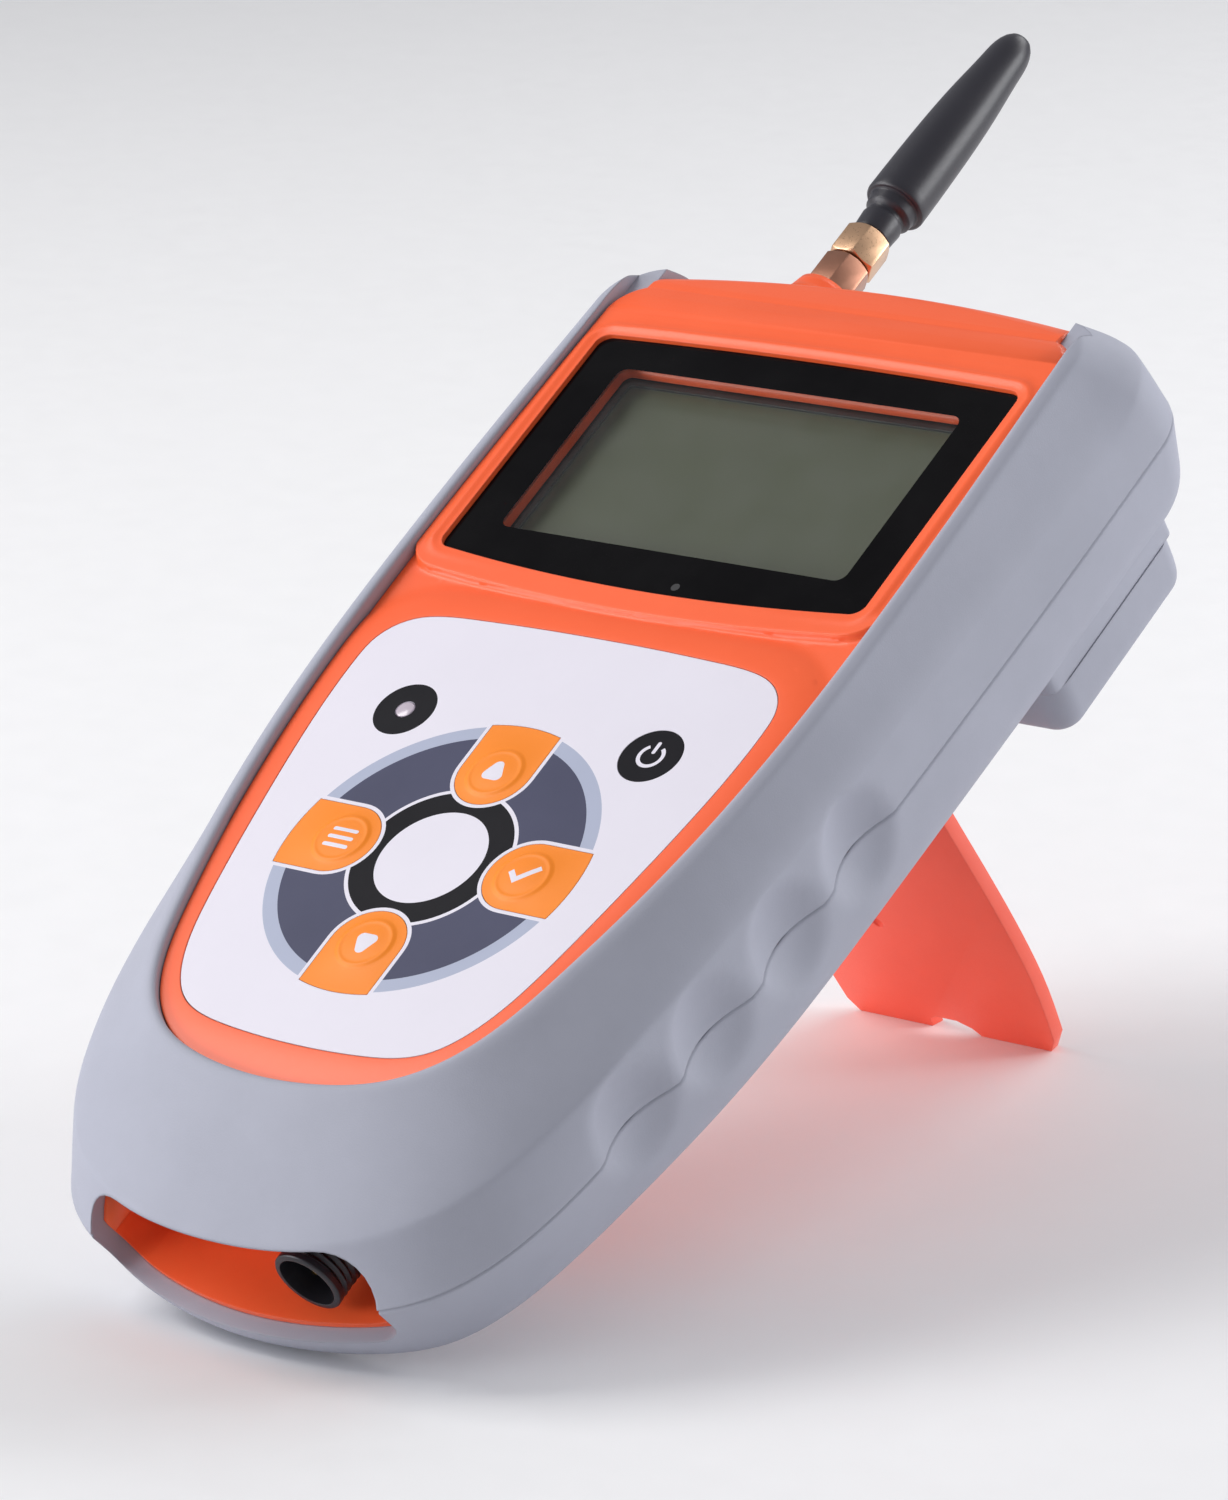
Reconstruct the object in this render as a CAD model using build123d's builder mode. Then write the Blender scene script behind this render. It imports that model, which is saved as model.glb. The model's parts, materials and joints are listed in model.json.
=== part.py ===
from build123d import *
import os
from math import cos, hypot, pi, sin, sqrt

# Handheld analyzer with a display, a membrane keypad, a screw-on stub antenna, a fold-out stand and a
# rubber boot. Every piece is modelled with the instrument lying flat: X across the face, Y along the body
# towards the antenna, Z out of the face, and the origin on the face at the centre of the key ring.
# The finished pieces are then leaned back together onto the open stand. All lengths are in millimetres.

os.makedirs("parts", exist_ok=True)

# ---------------------------------------------------------------- driving dimensions
LEAN = 31.0  # slope of the instrument on its open stand, degrees
GROUND_DEPTH = 67.5  # origin above the surface it stands on, after leaning

# Right-hand plan edges, from the top corner down to the middle of the bottom end.
FACE_EDGE = [(47.3, 118.0), (48.2, 95.0), (48.5, 65.0), (47.4, 32.0), (45.0, 11.0), (42.2, -4.0),
             (39.0, -17.0), (35.6, -28.0), (30.8, -36.8), (23.6, -43.2), (12.5, -47.1), (0.0, -48.3)]
RIDGE_EDGE = [(56.2, 126.0), (56.2, 100.0), (56.0, 65.0), (55.3, 32.0), (54.2, 8.0), (52.5, -12.0),
              (49.8, -31.0), (46.2, -43.5), (41.5, -53.5), (34.0, -62.2), (19.0, -69.8), (0.0, -72.2)]
BODY_EDGE = [(58.0, 126.0), (58.0, 100.0), (57.4, 65.0), (56.5, 32.0), (55.6, 8.0), (54.0, -12.0),
             (51.4, -30.0), (48.6, -45.5), (44.6, -57.0), (37.6, -66.6), (22.0, -74.2), (0.0, -77.2)]
REAR_EDGE = [(57.0, 126.0), (57.0, 100.0), (56.5, 65.0), (55.8, 32.0), (54.8, 8.0), (52.6, -12.0),
             (49.2, -30.0), (45.6, -45.0), (41.6, -56.0), (34.8, -65.6), (20.0, -72.6), (0.0, -75.2)]

BOOT_THICKNESS = 3.2
LIP_HEIGHT = 1.2  # the boot's lip stands this far above the face
LIP_WIDTH = 2.4
LIP_GAP = 0.15  # between the lip and the edge of the face
RIDGE_Z = -10.0  # where the sloping shoulder meets the side
MOULD_Z = -20.0  # mould line of the boot, where it is widest
REAR_Z = -31.0
WIDEST_Z = -22.0  # parting plane of the case
CASE_BACK_Z = -34.0
BOOT_BACK_Z = -37.0

WALL = 2.5
END_Y = 140.0  # antenna end at the centre line
END_CORNER_Y = 136.9
END_HALF_WIDTH = 43.0
END_ROUND = 10.0
END_BOTTOM_Z = -29.0

POCKET_HALF_WIDTH = 28.5  # connector pocket in the bottom end
POCKET_TOP_Z = -10.8
POCKET_BOTTOM_Z = -27.6
POCKET_FLOOR_Y = -57.0
POCKET_WALL = 2.2
END_PANEL = 2.0

LENS_HALF_WIDTH = 44.2
LENS_SIDE_Y = (64.0, 116.5)
LENS_MIDDLE_Y = (61.5, 117.3)
LENS_CORNER = 2.5
LENS_TOP_Z = -0.8
LENS_THICKNESS = 1.5
TAPE_THICKNESS = 0.4
VIEW_WIDTH, VIEW_HEIGHT = 72.0, 39.0  # window of a 128 by 64 dot module
VIEW_Y = 90.5
FRAME_PAD_Z = -4.5  # back of the housing's pad around the display

MODULE_WIDTH, MODULE_HEIGHT = 93.0, 70.0
MODULE_SCREWS = [(44.0, 58.0), (44.0, 123.0), (-44.0, 58.0), (-44.0, 123.0)]
BEZEL_WIDTH, BEZEL_HEIGHT = 84.0, 50.0
BEZEL_TOP_Z = -4.7
GLASS_TOP_Z = -5.2
BACKLIGHT_TOP_Z = -7.4
MODULE_TOP_Z = -10.0
BOARD_THICKNESS = 1.6

OVERLAY_EDGE = [(34.5, 50.0), (41.8, 44.5), (42.8, 38.0), (41.0, 17.0), (38.7, 2.0), (35.3, -16.0),
                (31.0, -29.5), (25.5, -36.5), (14.0, -39.9), (0.0, -40.6)]
OVERLAY_TOP_Y = 50.7
OVERLAY_THICKNESS = 0.6
SPACER_THICKNESS = 0.7
CIRCUIT_THICKNESS = 0.3
RECESS_Z = -(OVERLAY_THICKNESS + SPACER_THICKNESS + CIRCUIT_THICKNESS)
KEYPAD_PAD_Z = -3.8

KEY_WIDTH = 14.3
KEY_INNER = 12.0  # nearest point of an arrow key to the ring's centre
KEY_OUTER = 29.4
KEY_DOME_RADIUS = 5.5
KEY_DOME_HEIGHT = 0.5
KEY_DOME_CENTRE = 19.0
KEY_CLEARANCE = 0.1
SNAP_DOME_RADIUS = 3.0
SNAP_DOME_HEIGHT = 0.4
ROUND_RADIUS = 5.7
POWER_CENTRE = (25.7, 28.3)
STATUS_CENTRE = (-25.7, 28.3)
PIPE_RADIUS = 1.7
SENSOR_CENTRE = (6.4, 64.1)

MAIN_BOARD_TOP_Z = -15.0
MAIN_BOARD_EDGE = [(40.0, 80.0), (40.0, 0.0), (34.0, -42.0)]
MAIN_BOARD_HOLES = [(31.0, -36.0), (36.0, 48.0), (-31.0, -36.0), (-36.0, 48.0)]
CASE_SCREWS = [(34.0, 129.0), (45.0, 46.0), (33.0, -47.0), (-34.0, 129.0), (-45.0, 46.0), (-33.0, -47.0)]

ANTENNA_X, ANTENNA_Z = -19.0, -12.5
BOSS_END_Y = 143.6
JACK_NUT_END_Y = 151.3
HEX_FLATS = 8.0
JACK_THREAD_RADIUS = 3.12
JACK_END_Y = 155.6
COUPLING_Y = (151.7, 158.6)
COUPLING_THREAD_END_Y = 156.9
COUPLING_CLEARANCE = 0.06
WHIP_BASE_Y = 167.0
WHIP_TIP_Y = 212.2

CONNECTOR_X, CONNECTOR_Z = 15.0, -19.2
CONNECTOR_RADIUS = 6.0
CONNECTOR_END_Y = -70.0

BAY_HALF_WIDTH = 52.3  # two rows of two penlight cells, end to end
BAY_Y = (90.0, 120.0)
BAY_FLOOR_Z = -31.0
CELL_DIAMETER = 14.2
CELL_LENGTH = 49.5
CELL_ROWS = (97.7, 112.3)
CELL_Z = -38.3
DOOR_HALF_WIDTH = 54.2
DOOR_Y = (86.0, 124.0)
DOOR_BACK_Z = -47.2
DOOR_WALL = 1.6
DOOR_AXIS_Y, DOOR_AXIS_Z = 125.3, -38.3
DOOR_PIN_RADIUS = 0.6
DOOR_EAR_X = (22.2, 26.0)

STAND_AXIS_Y, STAND_AXIS_Z = 83.0, -35.8
STAND_THICKNESS = 3.0
STAND_LENGTH = 94.0
PIN_RADIUS = 1.0
EAR_X = (19.2, 22.2)
WINDOW_HALF_WIDTH = 27.5
WINDOW_BOTTOM_Y = -20.0


# ---------------------------------------------------------------- shared shapes
def inset(edge, amount):
    """Move every point of a right-hand plan edge inwards, square to the edge."""
    moved = []
    last = len(edge) - 1
    for i, (x, y) in enumerate(edge):
        if i == 0:
            run_x, run_y = 0.0, -1.0
        elif i == last:
            run_x, run_y = -1.0, 0.0
        else:
            run_x = edge[i + 1][0] - edge[i - 1][0]
            run_y = edge[i + 1][1] - edge[i - 1][1]
        size = hypot(run_x, run_y)
        moved.append((x + amount * run_y / size, y - amount * run_x / size))
    return moved


def plan(edge, amount, top, corner):
    """Closed plan outline: a smooth edge round the bottom end, rounded top corners and a straight top."""
    right = inset(edge, amount)
    left = [(-x, y) for x, y in reversed(right[:-1])]
    side_x = right[0][0]
    start = (side_x, top - corner)
    with BuildSketch(mode=Mode.PRIVATE) as sketch:
        with BuildLine():
            Spline(start, *right[1:], *left[:-1], (-side_x, top - corner), tangents=[(0, -1), (0, 1)])
            RadiusArc((-side_x, top - corner), (-side_x + corner, top), corner)
            Line((-side_x + corner, top), (side_x - corner, top))
            RadiusArc((side_x - corner, top), start, corner)
        make_face()
    return sketch.sketch


def stacked(levels):
    """Faceted solid through plan outlines given as (height, outline)."""
    with BuildPart(mode=Mode.PRIVATE) as solid:
        for height, outline in levels:
            with BuildSketch(Plane.XY.offset(height)):
                add(outline)
        loft(ruled=True)
    return solid.part


def box_between(low, high):
    """Box with the given lowest and highest corners."""
    size = [h - l for l, h in zip(low, high)]
    centre = [(h + l) / 2 for l, h in zip(low, high)]
    return Pos(*centre) * Box(*size, mode=Mode.PRIVATE)


def along_y(x, y, z):
    """Plane square to the Y axis whose extrusions run towards the antenna end."""
    return Plane(origin=(x, y, z), x_dir=(1, 0, 0), z_dir=(0, 1, 0))


def rod_y(x, z, radius, start, end):
    """Round bar along Y."""
    with BuildPart(mode=Mode.PRIVATE) as bar:
        with BuildSketch(along_y(x, start, z)):
            Circle(radius)
        extrude(amount=end - start)
    return bar.part


def hex_y(x, z, flats, start, end):
    """Hexagonal bar along Y."""
    with BuildPart(mode=Mode.PRIVATE) as bar:
        with BuildSketch(along_y(x, start, z)):
            RegularPolygon(flats / sqrt(3), 6)
        extrude(amount=end - start)
    return bar.part


def end_bulge(amount):
    """The antenna end between the boot's corners, rounded towards the face and shrunk by an amount."""
    half = END_HALF_WIDTH - amount
    low = END_BOTTOM_Z + amount
    corner_y = END_CORNER_Y - amount
    with BuildPart(mode=Mode.PRIVATE) as bulge:
        with BuildSketch(Plane.XY.offset(low)):
            with BuildLine():
                ThreePointArc((half, corner_y), (0, END_Y - amount), (-half, corner_y))
                Polyline((-half, corner_y), (-half, 112), (half, 112), (half, corner_y))
            make_face()
        extrude(amount=-low - amount)
        fillet(bulge.faces().sort_by(Axis.Z)[-1].edges().sort_by(Axis.Y)[-1], END_ROUND - amount)
    return bulge.part


def case_form(amount):
    """Outer form of the closed case, shrunk by an amount on every side."""
    hug = BOOT_THICKNESS + amount
    top = 140.0 - hug
    front = stacked([
        (-amount, plan(FACE_EDGE, amount * 0.9, 129.5 - amount, 8.0)),
        (RIDGE_Z - 0.8, plan(RIDGE_EDGE, hug, top - 0.6, 9.0)),
        (MOULD_Z, plan(BODY_EDGE, hug, top, 10.0)),
        (REAR_Z + 1.0, plan(REAR_EDGE, hug, top - 2.4, 9.5)),
        (CASE_BACK_Z + amount, plan(REAR_EDGE, hug + 1.0, top - 3.6, 9.0)),
    ])
    return front + end_bulge(amount)


def overlay_outline(amount):
    """Keypad overlay outline, shrunk by an amount."""
    right = inset(OVERLAY_EDGE, amount)
    left = [(-x, y) for x, y in reversed(right[:-1])]
    first = (OVERLAY_EDGE[0][0] - amount * 0.2, OVERLAY_EDGE[0][1] - amount)
    with BuildSketch(mode=Mode.PRIVATE) as sketch:
        with BuildLine():
            Spline(first, *right[1:], *left[:-1], (-first[0], first[1]))
            ThreePointArc((-first[0], first[1]), (0, OVERLAY_TOP_Y - amount), first)
        make_face()
    return sketch.sketch


def lens_outline(grow):
    """Display lens outline with bowed ends, grown by an amount."""
    half = LENS_HALF_WIDTH + grow
    low, high = LENS_SIDE_Y[0] - grow, LENS_SIDE_Y[1] + grow
    with BuildSketch(mode=Mode.PRIVATE) as sketch:
        with BuildLine():
            Line((half, low), (half, high))
            ThreePointArc((half, high), (0, LENS_MIDDLE_Y[1] + grow), (-half, high))
            Line((-half, high), (-half, low))
            ThreePointArc((-half, low), (0, LENS_MIDDLE_Y[0] - grow), (half, low))
        make_face()
        fillet(sketch.vertices(), LENS_CORNER + grow)
    return sketch.sketch


def key_outline(shrink):
    """Arrow key pointing away from the ring's centre along +X: a round inner end and a square outer end."""
    radius = KEY_WIDTH / 2 - shrink
    centre = KEY_INNER + KEY_WIDTH / 2
    outer = KEY_OUTER - shrink
    with BuildSketch(mode=Mode.PRIVATE) as sketch:
        with BuildLine():
            ThreePointArc((centre, radius), (centre - radius, 0), (centre, -radius))
            Polyline((centre, -radius), (outer, -radius), (outer, radius), (centre, radius))
        make_face()
    return sketch.sketch


def round_outline(shrink):
    """Outline of the round power key about its own centre."""
    with BuildSketch(mode=Mode.PRIVATE) as sketch:
        Circle(ROUND_RADIUS - shrink)
    return sketch.sketch


KEYS = {
    "key_ok": (Location((0, 0, 0), (0, 0, 0)), key_outline, KEY_DOME_CENTRE),
    "key_up": (Location((0, 0, 0), (0, 0, 90)), key_outline, KEY_DOME_CENTRE),
    "key_menu": (Location((0, 0, 0), (0, 0, 180)), key_outline, KEY_DOME_CENTRE),
    "key_down": (Location((0, 0, 0), (0, 0, 270)), key_outline, KEY_DOME_CENTRE),
    "key_power": (Location((*POWER_CENTRE, 0)), round_outline, 0.0),
}

finished = []


def finish(builder, label):
    """Keep a finished piece for leaning and writing, under its label."""
    piece = builder.part
    piece.label = label
    finished.append(piece)


case_outer = case_form(0.0)
case_cavity = case_form(WALL)
front_half = box_between((-70, -90, WIDEST_Z), (70, 160, 10))
rear_half = box_between((-70, -90, -60), (70, 160, WIDEST_Z))
pocket = box_between(
    (-POCKET_HALF_WIDTH, -90, POCKET_BOTTOM_Z),
    (POCKET_HALF_WIDTH, POCKET_FLOOR_Y, POCKET_TOP_Z))
pocket = fillet(pocket.edges().filter_by(Axis.Y), 4.0)
ground = Rot(-LEAN, 0, 0) * box_between((-90, -200, -GROUND_DEPTH - 40), (90, 200, -GROUND_DEPTH))
pocket_liner = case_outer & box_between(
    (-POCKET_HALF_WIDTH - POCKET_WALL, -90, POCKET_BOTTOM_Z - POCKET_WALL),
    (POCKET_HALF_WIDTH + POCKET_WALL, POCKET_FLOOR_Y + END_PANEL + 1.5, POCKET_TOP_Z + POCKET_WALL))
panel_slot = box_between(
    (-POCKET_HALF_WIDTH - 1.2, POCKET_FLOOR_Y, POCKET_BOTTOM_Z - 1.2),
    (POCKET_HALF_WIDTH + 1.2, POCKET_FLOOR_Y + END_PANEL, POCKET_TOP_Z + 1.2))
panel_window = box_between(
    (-POCKET_HALF_WIDTH + 1.0, POCKET_FLOOR_Y, POCKET_BOTTOM_Z + 1.0),
    (POCKET_HALF_WIDTH - 1.0, POCKET_FLOOR_Y + 10, POCKET_TOP_Z - 1.0))
seal_ring = (case_form(0.8) - case_form(1.8)) & box_between((-70, -90, WIDEST_Z), (70, 160, WIDEST_Z + 1.0))
seal_ring = seal_ring - box_between(
    (-POCKET_HALF_WIDTH - POCKET_WALL - 1, -90, -60), (POCKET_HALF_WIDTH + POCKET_WALL + 1, -50, 10))

# ---------------------------------------------------------------- front housing
PILOT_RADIUS = 1.05
SCREW_RADIUS = 1.0

with BuildPart(mode=Mode.PRIVATE) as boss_columns:
    with BuildSketch(Plane.XY.offset(MODULE_TOP_Z)):
        with Locations(*MODULE_SCREWS):
            Circle(2.4)
    extrude(amount=-MODULE_TOP_Z - 2.0)
    with BuildSketch(Plane.XY.offset(MAIN_BOARD_TOP_Z)):
        with Locations(*MAIN_BOARD_HOLES):
            Circle(2.8)
    extrude(amount=-MAIN_BOARD_TOP_Z - 2.0)
    with BuildSketch(Plane.XY.offset(WIDEST_Z)):
        with Locations(*CASE_SCREWS):
            Circle(3.2)
    extrude(amount=-WIDEST_Z - 2.0)
front_bosses = boss_columns.part

with BuildPart() as front_housing:
    add(case_outer & front_half)
    add(case_cavity & front_half, mode=Mode.SUBTRACT)
    add(pocket_liner & front_half)
    # Thicker pads behind the display and the keypad.
    with BuildSketch(Plane.XY.offset(FRAME_PAD_Z)):
        with Locations((0, VIEW_Y - 1.0)):
            Rectangle(88, 62)
    extrude(amount=-FRAME_PAD_Z - WALL + 0.2)
    with BuildSketch(Plane.XY.offset(KEYPAD_PAD_Z)):
        add(overlay_outline(-0.8))
    extrude(amount=-KEYPAD_PAD_Z - WALL + 0.2)
    add(front_bosses & case_outer)
    # Antenna boss, a short cone outside and a flat pad inside.
    with BuildSketch(along_y(ANTENNA_X, 134.0, ANTENNA_Z)):
        Circle(6.5)
    extrude(amount=6.0)
    with BuildSketch(along_y(ANTENNA_X, 137.0, ANTENNA_Z)):
        Circle(6.9)
    with BuildSketch(along_y(ANTENNA_X, BOSS_END_Y, ANTENNA_Z)):
        Circle(5.5)
    loft()
    add(rear_half, mode=Mode.SUBTRACT)
    # Openings: connector pocket, lens seat, display window, keypad seat and the antenna jack.
    add(pocket, mode=Mode.SUBTRACT)
    add(panel_slot, mode=Mode.SUBTRACT)
    add(panel_window, mode=Mode.SUBTRACT)
    add(seal_ring, mode=Mode.SUBTRACT)
    with BuildSketch(Plane.XY.offset(LENS_TOP_Z - LENS_THICKNESS - TAPE_THICKNESS)):
        add(lens_outline(0.12))
    extrude(amount=10, mode=Mode.SUBTRACT)
    with BuildSketch(Plane.XY.offset(-8)):
        with Locations((0, VIEW_Y)):
            RectangleRounded(VIEW_WIDTH + 3, VIEW_HEIGHT + 3, 1.5)
        with Locations(SENSOR_CENTRE):
            Circle(0.9)
    extrude(amount=10, mode=Mode.SUBTRACT)
    with BuildSketch(Plane.XY.offset(RECESS_Z)):
        add(overlay_outline(-0.12))
    extrude(amount=10, mode=Mode.SUBTRACT)
    with BuildSketch(Plane.XY.offset(-8)):
        with Locations(STATUS_CENTRE):
            Circle(PIPE_RADIUS + 0.1)
        with Locations((0, 45.5)):
            Rectangle(13, 1.0)
    extrude(amount=8, mode=Mode.SUBTRACT)
    with BuildSketch(along_y(ANTENNA_X, 130, ANTENNA_Z)):
        Circle(JACK_THREAD_RADIUS + 0.08)
    extrude(amount=20, mode=Mode.SUBTRACT)
    # Pilot holes.
    with BuildSketch(Plane.XY.offset(MODULE_TOP_Z)):
        with Locations(*MODULE_SCREWS):
            Circle(PILOT_RADIUS)
    extrude(amount=6, mode=Mode.SUBTRACT)
    with BuildSketch(Plane.XY.offset(MAIN_BOARD_TOP_Z)):
        with Locations(*MAIN_BOARD_HOLES):
            Circle(PILOT_RADIUS)
    extrude(amount=8, mode=Mode.SUBTRACT)
    with BuildSketch(Plane.XY.offset(WIDEST_Z)):
        with Locations(*CASE_SCREWS):
            Circle(PILOT_RADIUS + 0.3)
    extrude(amount=12, mode=Mode.SUBTRACT)
finish(front_housing, "front_housing")

# ---------------------------------------------------------------- rear housing
bay_walls = box_between((-60, BAY_Y[0] - 1.8, CASE_BACK_Z), (60, BAY_Y[1] + 1.8, BAY_FLOOR_Z + 1.6))
EAR_ROOT_Z = CASE_BACK_Z + 0.5
EAR_PROFILE = [(79.6, EAR_ROOT_Z), (79.6, -37.2), (82.0, -41.0), (85.8, -41.0), (85.8, EAR_ROOT_Z)]

with BuildPart() as rear_housing:
    add(case_outer & rear_half)
    add(case_cavity & rear_half, mode=Mode.SUBTRACT)
    add(pocket_liner & rear_half)
    # Screw columns and the battery bay with its raised rim.
    with BuildSketch(Plane.XY.offset(CASE_BACK_Z)):
        with Locations(*CASE_SCREWS):
            Circle(3.1)
    extrude(amount=WIDEST_Z - CASE_BACK_Z)
    add(bay_walls & case_outer)
    add(box_between((-DOOR_HALF_WIDTH, DOOR_Y[0], BOOT_BACK_Z), (DOOR_HALF_WIDTH, DOOR_Y[1], EAR_ROOT_Z)))
    # Hinge ears of the stand, joined by the web that it opens against.
    for ear_start in (EAR_X[0], -EAR_X[1]):
        with BuildSketch(Plane.YZ.offset(ear_start)):
            with BuildLine():
                Polyline(*EAR_PROFILE, close=True)
            make_face()
        extrude(amount=EAR_X[1] - EAR_X[0])
    stop_y = STAND_AXIS_Y + STAND_THICKNESS / 2 + 0.05
    add(box_between((-EAR_X[0] - 0.1, stop_y, -41.0), (EAR_X[0] + 0.1, 85.8, -38.8)))
    # Smaller ears that carry the battery door.
    for ear_start in (DOOR_EAR_X[0], -DOOR_EAR_X[1]):
        ear_end = ear_start + DOOR_EAR_X[1] - DOOR_EAR_X[0]
        add(box_between((ear_start, DOOR_Y[1] - 0.5, -39.6), (ear_end, DOOR_AXIS_Y + 1.4, EAR_ROOT_Z)))
    add(front_half, mode=Mode.SUBTRACT)
    add(pocket, mode=Mode.SUBTRACT)
    add(panel_slot, mode=Mode.SUBTRACT)
    add(panel_window, mode=Mode.SUBTRACT)
    # Battery bay, knuckle groove and pin hole.
    bay = box_between((-BAY_HALF_WIDTH, BAY_Y[0], -60), (BAY_HALF_WIDTH, BAY_Y[1], BAY_FLOOR_Z))
    add(bay, mode=Mode.SUBTRACT)
    with BuildSketch(Plane.YZ.offset(-EAR_X[0])):
        with Locations((STAND_AXIS_Y, STAND_AXIS_Z)):
            Circle(2.9)
    extrude(amount=2 * EAR_X[0], mode=Mode.SUBTRACT)
    with BuildSketch(Plane.YZ.offset(-30)):
        with Locations((STAND_AXIS_Y, STAND_AXIS_Z)):
            Circle(PIN_RADIUS)
        with Locations((DOOR_AXIS_Y, DOOR_AXIS_Z)):
            Circle(DOOR_PIN_RADIUS)
    extrude(amount=60, mode=Mode.SUBTRACT)
    # Case screw holes with head seats from the back.
    with BuildSketch(Plane.XY.offset(-60)):
        with Locations(*CASE_SCREWS):
            Circle(1.6)
    extrude(amount=60, mode=Mode.SUBTRACT)
    with BuildSketch(Plane.XY.offset(-60)):
        with Locations(*CASE_SCREWS):
            Circle(2.9)
    extrude(amount=60 + CASE_BACK_Z + 2.6, mode=Mode.SUBTRACT)
finish(rear_housing, "rear_housing")

# ---------------------------------------------------------------- seal and end panel
with BuildPart() as case_seal:
    add(seal_ring)
finish(case_seal, "case_seal")

with BuildPart() as end_panel:
    add(panel_slot)
    with BuildSketch(along_y(CONNECTOR_X, POCKET_FLOOR_Y, CONNECTOR_Z)):
        Circle(CONNECTOR_RADIUS + 0.05)
    extrude(amount=END_PANEL, mode=Mode.SUBTRACT)
finish(end_panel, "end_panel")

# ---------------------------------------------------------------- rubber boot
boot_levels = [
    (LIP_HEIGHT, plan(FACE_EDGE, -LIP_WIDTH, 131.5, 9.0)),
    (RIDGE_Z, plan(RIDGE_EDGE, 0.0, 139.2, 12.0)),
    (MOULD_Z, plan(BODY_EDGE, 0.0, 140.0, 12.5)),
    (REAR_Z, plan(REAR_EDGE, 0.0, 137.5, 12.0)),
    (-35.2, plan(REAR_EDGE, 2.2, 135.3, 11.0)),
    (BOOT_BACK_Z, plan(REAR_EDGE, 5.0, 132.8, 9.0)),
]
boot_outer = stacked(boot_levels)

with BuildPart() as rubber_boot:
    add(boot_outer)
    add(case_outer, mode=Mode.SUBTRACT)
    with BuildSketch(Plane.XY.offset(-0.5)):
        add(plan(FACE_EDGE, -LIP_GAP, 150.0, 0.5))
    extrude(amount=8, mode=Mode.SUBTRACT)
    end_gap = box_between((-END_HALF_WIDTH - 0.1, 110, END_BOTTOM_Z), (END_HALF_WIDTH + 0.1, 160, 8))
    add(end_gap, mode=Mode.SUBTRACT)
    add(pocket, mode=Mode.SUBTRACT)
    # Rear windows for the battery door's rim and ears, and for the stand.
    add(box_between((-DOOR_HALF_WIDTH, DOOR_Y[0], -60), (DOOR_HALF_WIDTH, DOOR_Y[1], CASE_BACK_Z + 1)),
        mode=Mode.SUBTRACT)
    add(box_between((-DOOR_EAR_X[1], DOOR_Y[1] - 1, -60), (DOOR_EAR_X[1], DOOR_AXIS_Y + 1.4, CASE_BACK_Z + 1)),
        mode=Mode.SUBTRACT)
    with BuildSketch(Plane.XY.offset(-60)):
        with Locations((0, (WINDOW_BOTTOM_Y + DOOR_Y[0] + 4) / 2)):
            RectangleRounded(2 * WINDOW_HALF_WIDTH, DOOR_Y[0] + 4 - WINDOW_BOTTOM_Y, 6.0)
    extrude(amount=60 + CASE_BACK_Z + 0.5, mode=Mode.SUBTRACT)
    # Flat heel that rests on the table.
    add(ground, mode=Mode.SUBTRACT)
finish(rubber_boot, "rubber_boot")

# ---------------------------------------------------------------- display
with BuildPart() as display_lens:
    with BuildSketch(Plane.XY.offset(LENS_TOP_Z - LENS_THICKNESS)):
        add(lens_outline(0.0))
    extrude(amount=LENS_THICKNESS)
finish(display_lens, "display_lens")

with BuildPart() as lens_tape:
    with BuildSketch(Plane.XY.offset(LENS_TOP_Z - LENS_THICKNESS - TAPE_THICKNESS)):
        add(lens_outline(-0.6))
        with Locations((0, VIEW_Y)):
            RectangleRounded(VIEW_WIDTH + 4, VIEW_HEIGHT + 4, 2.0, mode=Mode.SUBTRACT)
        with Locations(SENSOR_CENTRE):
            Circle(0.9, mode=Mode.SUBTRACT)
    extrude(amount=TAPE_THICKNESS)
finish(lens_tape, "lens_tape")

with BuildPart() as lcd_bezel:
    with BuildSketch(Plane.XY.offset(MODULE_TOP_Z)):
        with Locations((0, VIEW_Y)):
            RectangleRounded(BEZEL_WIDTH, BEZEL_HEIGHT, 1.0)
    extrude(amount=BEZEL_TOP_Z - MODULE_TOP_Z)
    with BuildSketch(Plane.XY.offset(MODULE_TOP_Z)):
        with Locations((0, VIEW_Y)):
            Rectangle(BEZEL_WIDTH - 1.0, BEZEL_HEIGHT - 1.0)
    extrude(amount=GLASS_TOP_Z - MODULE_TOP_Z, mode=Mode.SUBTRACT)
    with BuildSketch(Plane.XY.offset(MODULE_TOP_Z)):
        with Locations((0, VIEW_Y)):
            RectangleRounded(VIEW_WIDTH, VIEW_HEIGHT, 1.0)
    extrude(amount=10, mode=Mode.SUBTRACT)
finish(lcd_bezel, "lcd_bezel")

with BuildPart() as lcd_glass:
    with BuildSketch(Plane.XY.offset(BACKLIGHT_TOP_Z)):
        with Locations((0, VIEW_Y)):
            Rectangle(BEZEL_WIDTH - 3, BEZEL_HEIGHT - 3)
    extrude(amount=GLASS_TOP_Z - BACKLIGHT_TOP_Z)
finish(lcd_glass, "lcd_glass")

with BuildPart() as lcd_backlight:
    with BuildSketch(Plane.XY.offset(MODULE_TOP_Z)):
        with Locations((0, VIEW_Y)):
            Rectangle(BEZEL_WIDTH - 3, BEZEL_HEIGHT - 3)
    extrude(amount=BACKLIGHT_TOP_Z - MODULE_TOP_Z)
finish(lcd_backlight, "lcd_backlight")

with BuildPart() as lcd_board:
    with BuildSketch(Plane.XY.offset(MODULE_TOP_Z - BOARD_THICKNESS)):
        with Locations((0, VIEW_Y)):
            Rectangle(MODULE_WIDTH, MODULE_HEIGHT)
        with Locations(*MODULE_SCREWS):
            Circle(1.3, mode=Mode.SUBTRACT)
    extrude(amount=BOARD_THICKNESS)
finish(lcd_board, "lcd_board")

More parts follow.
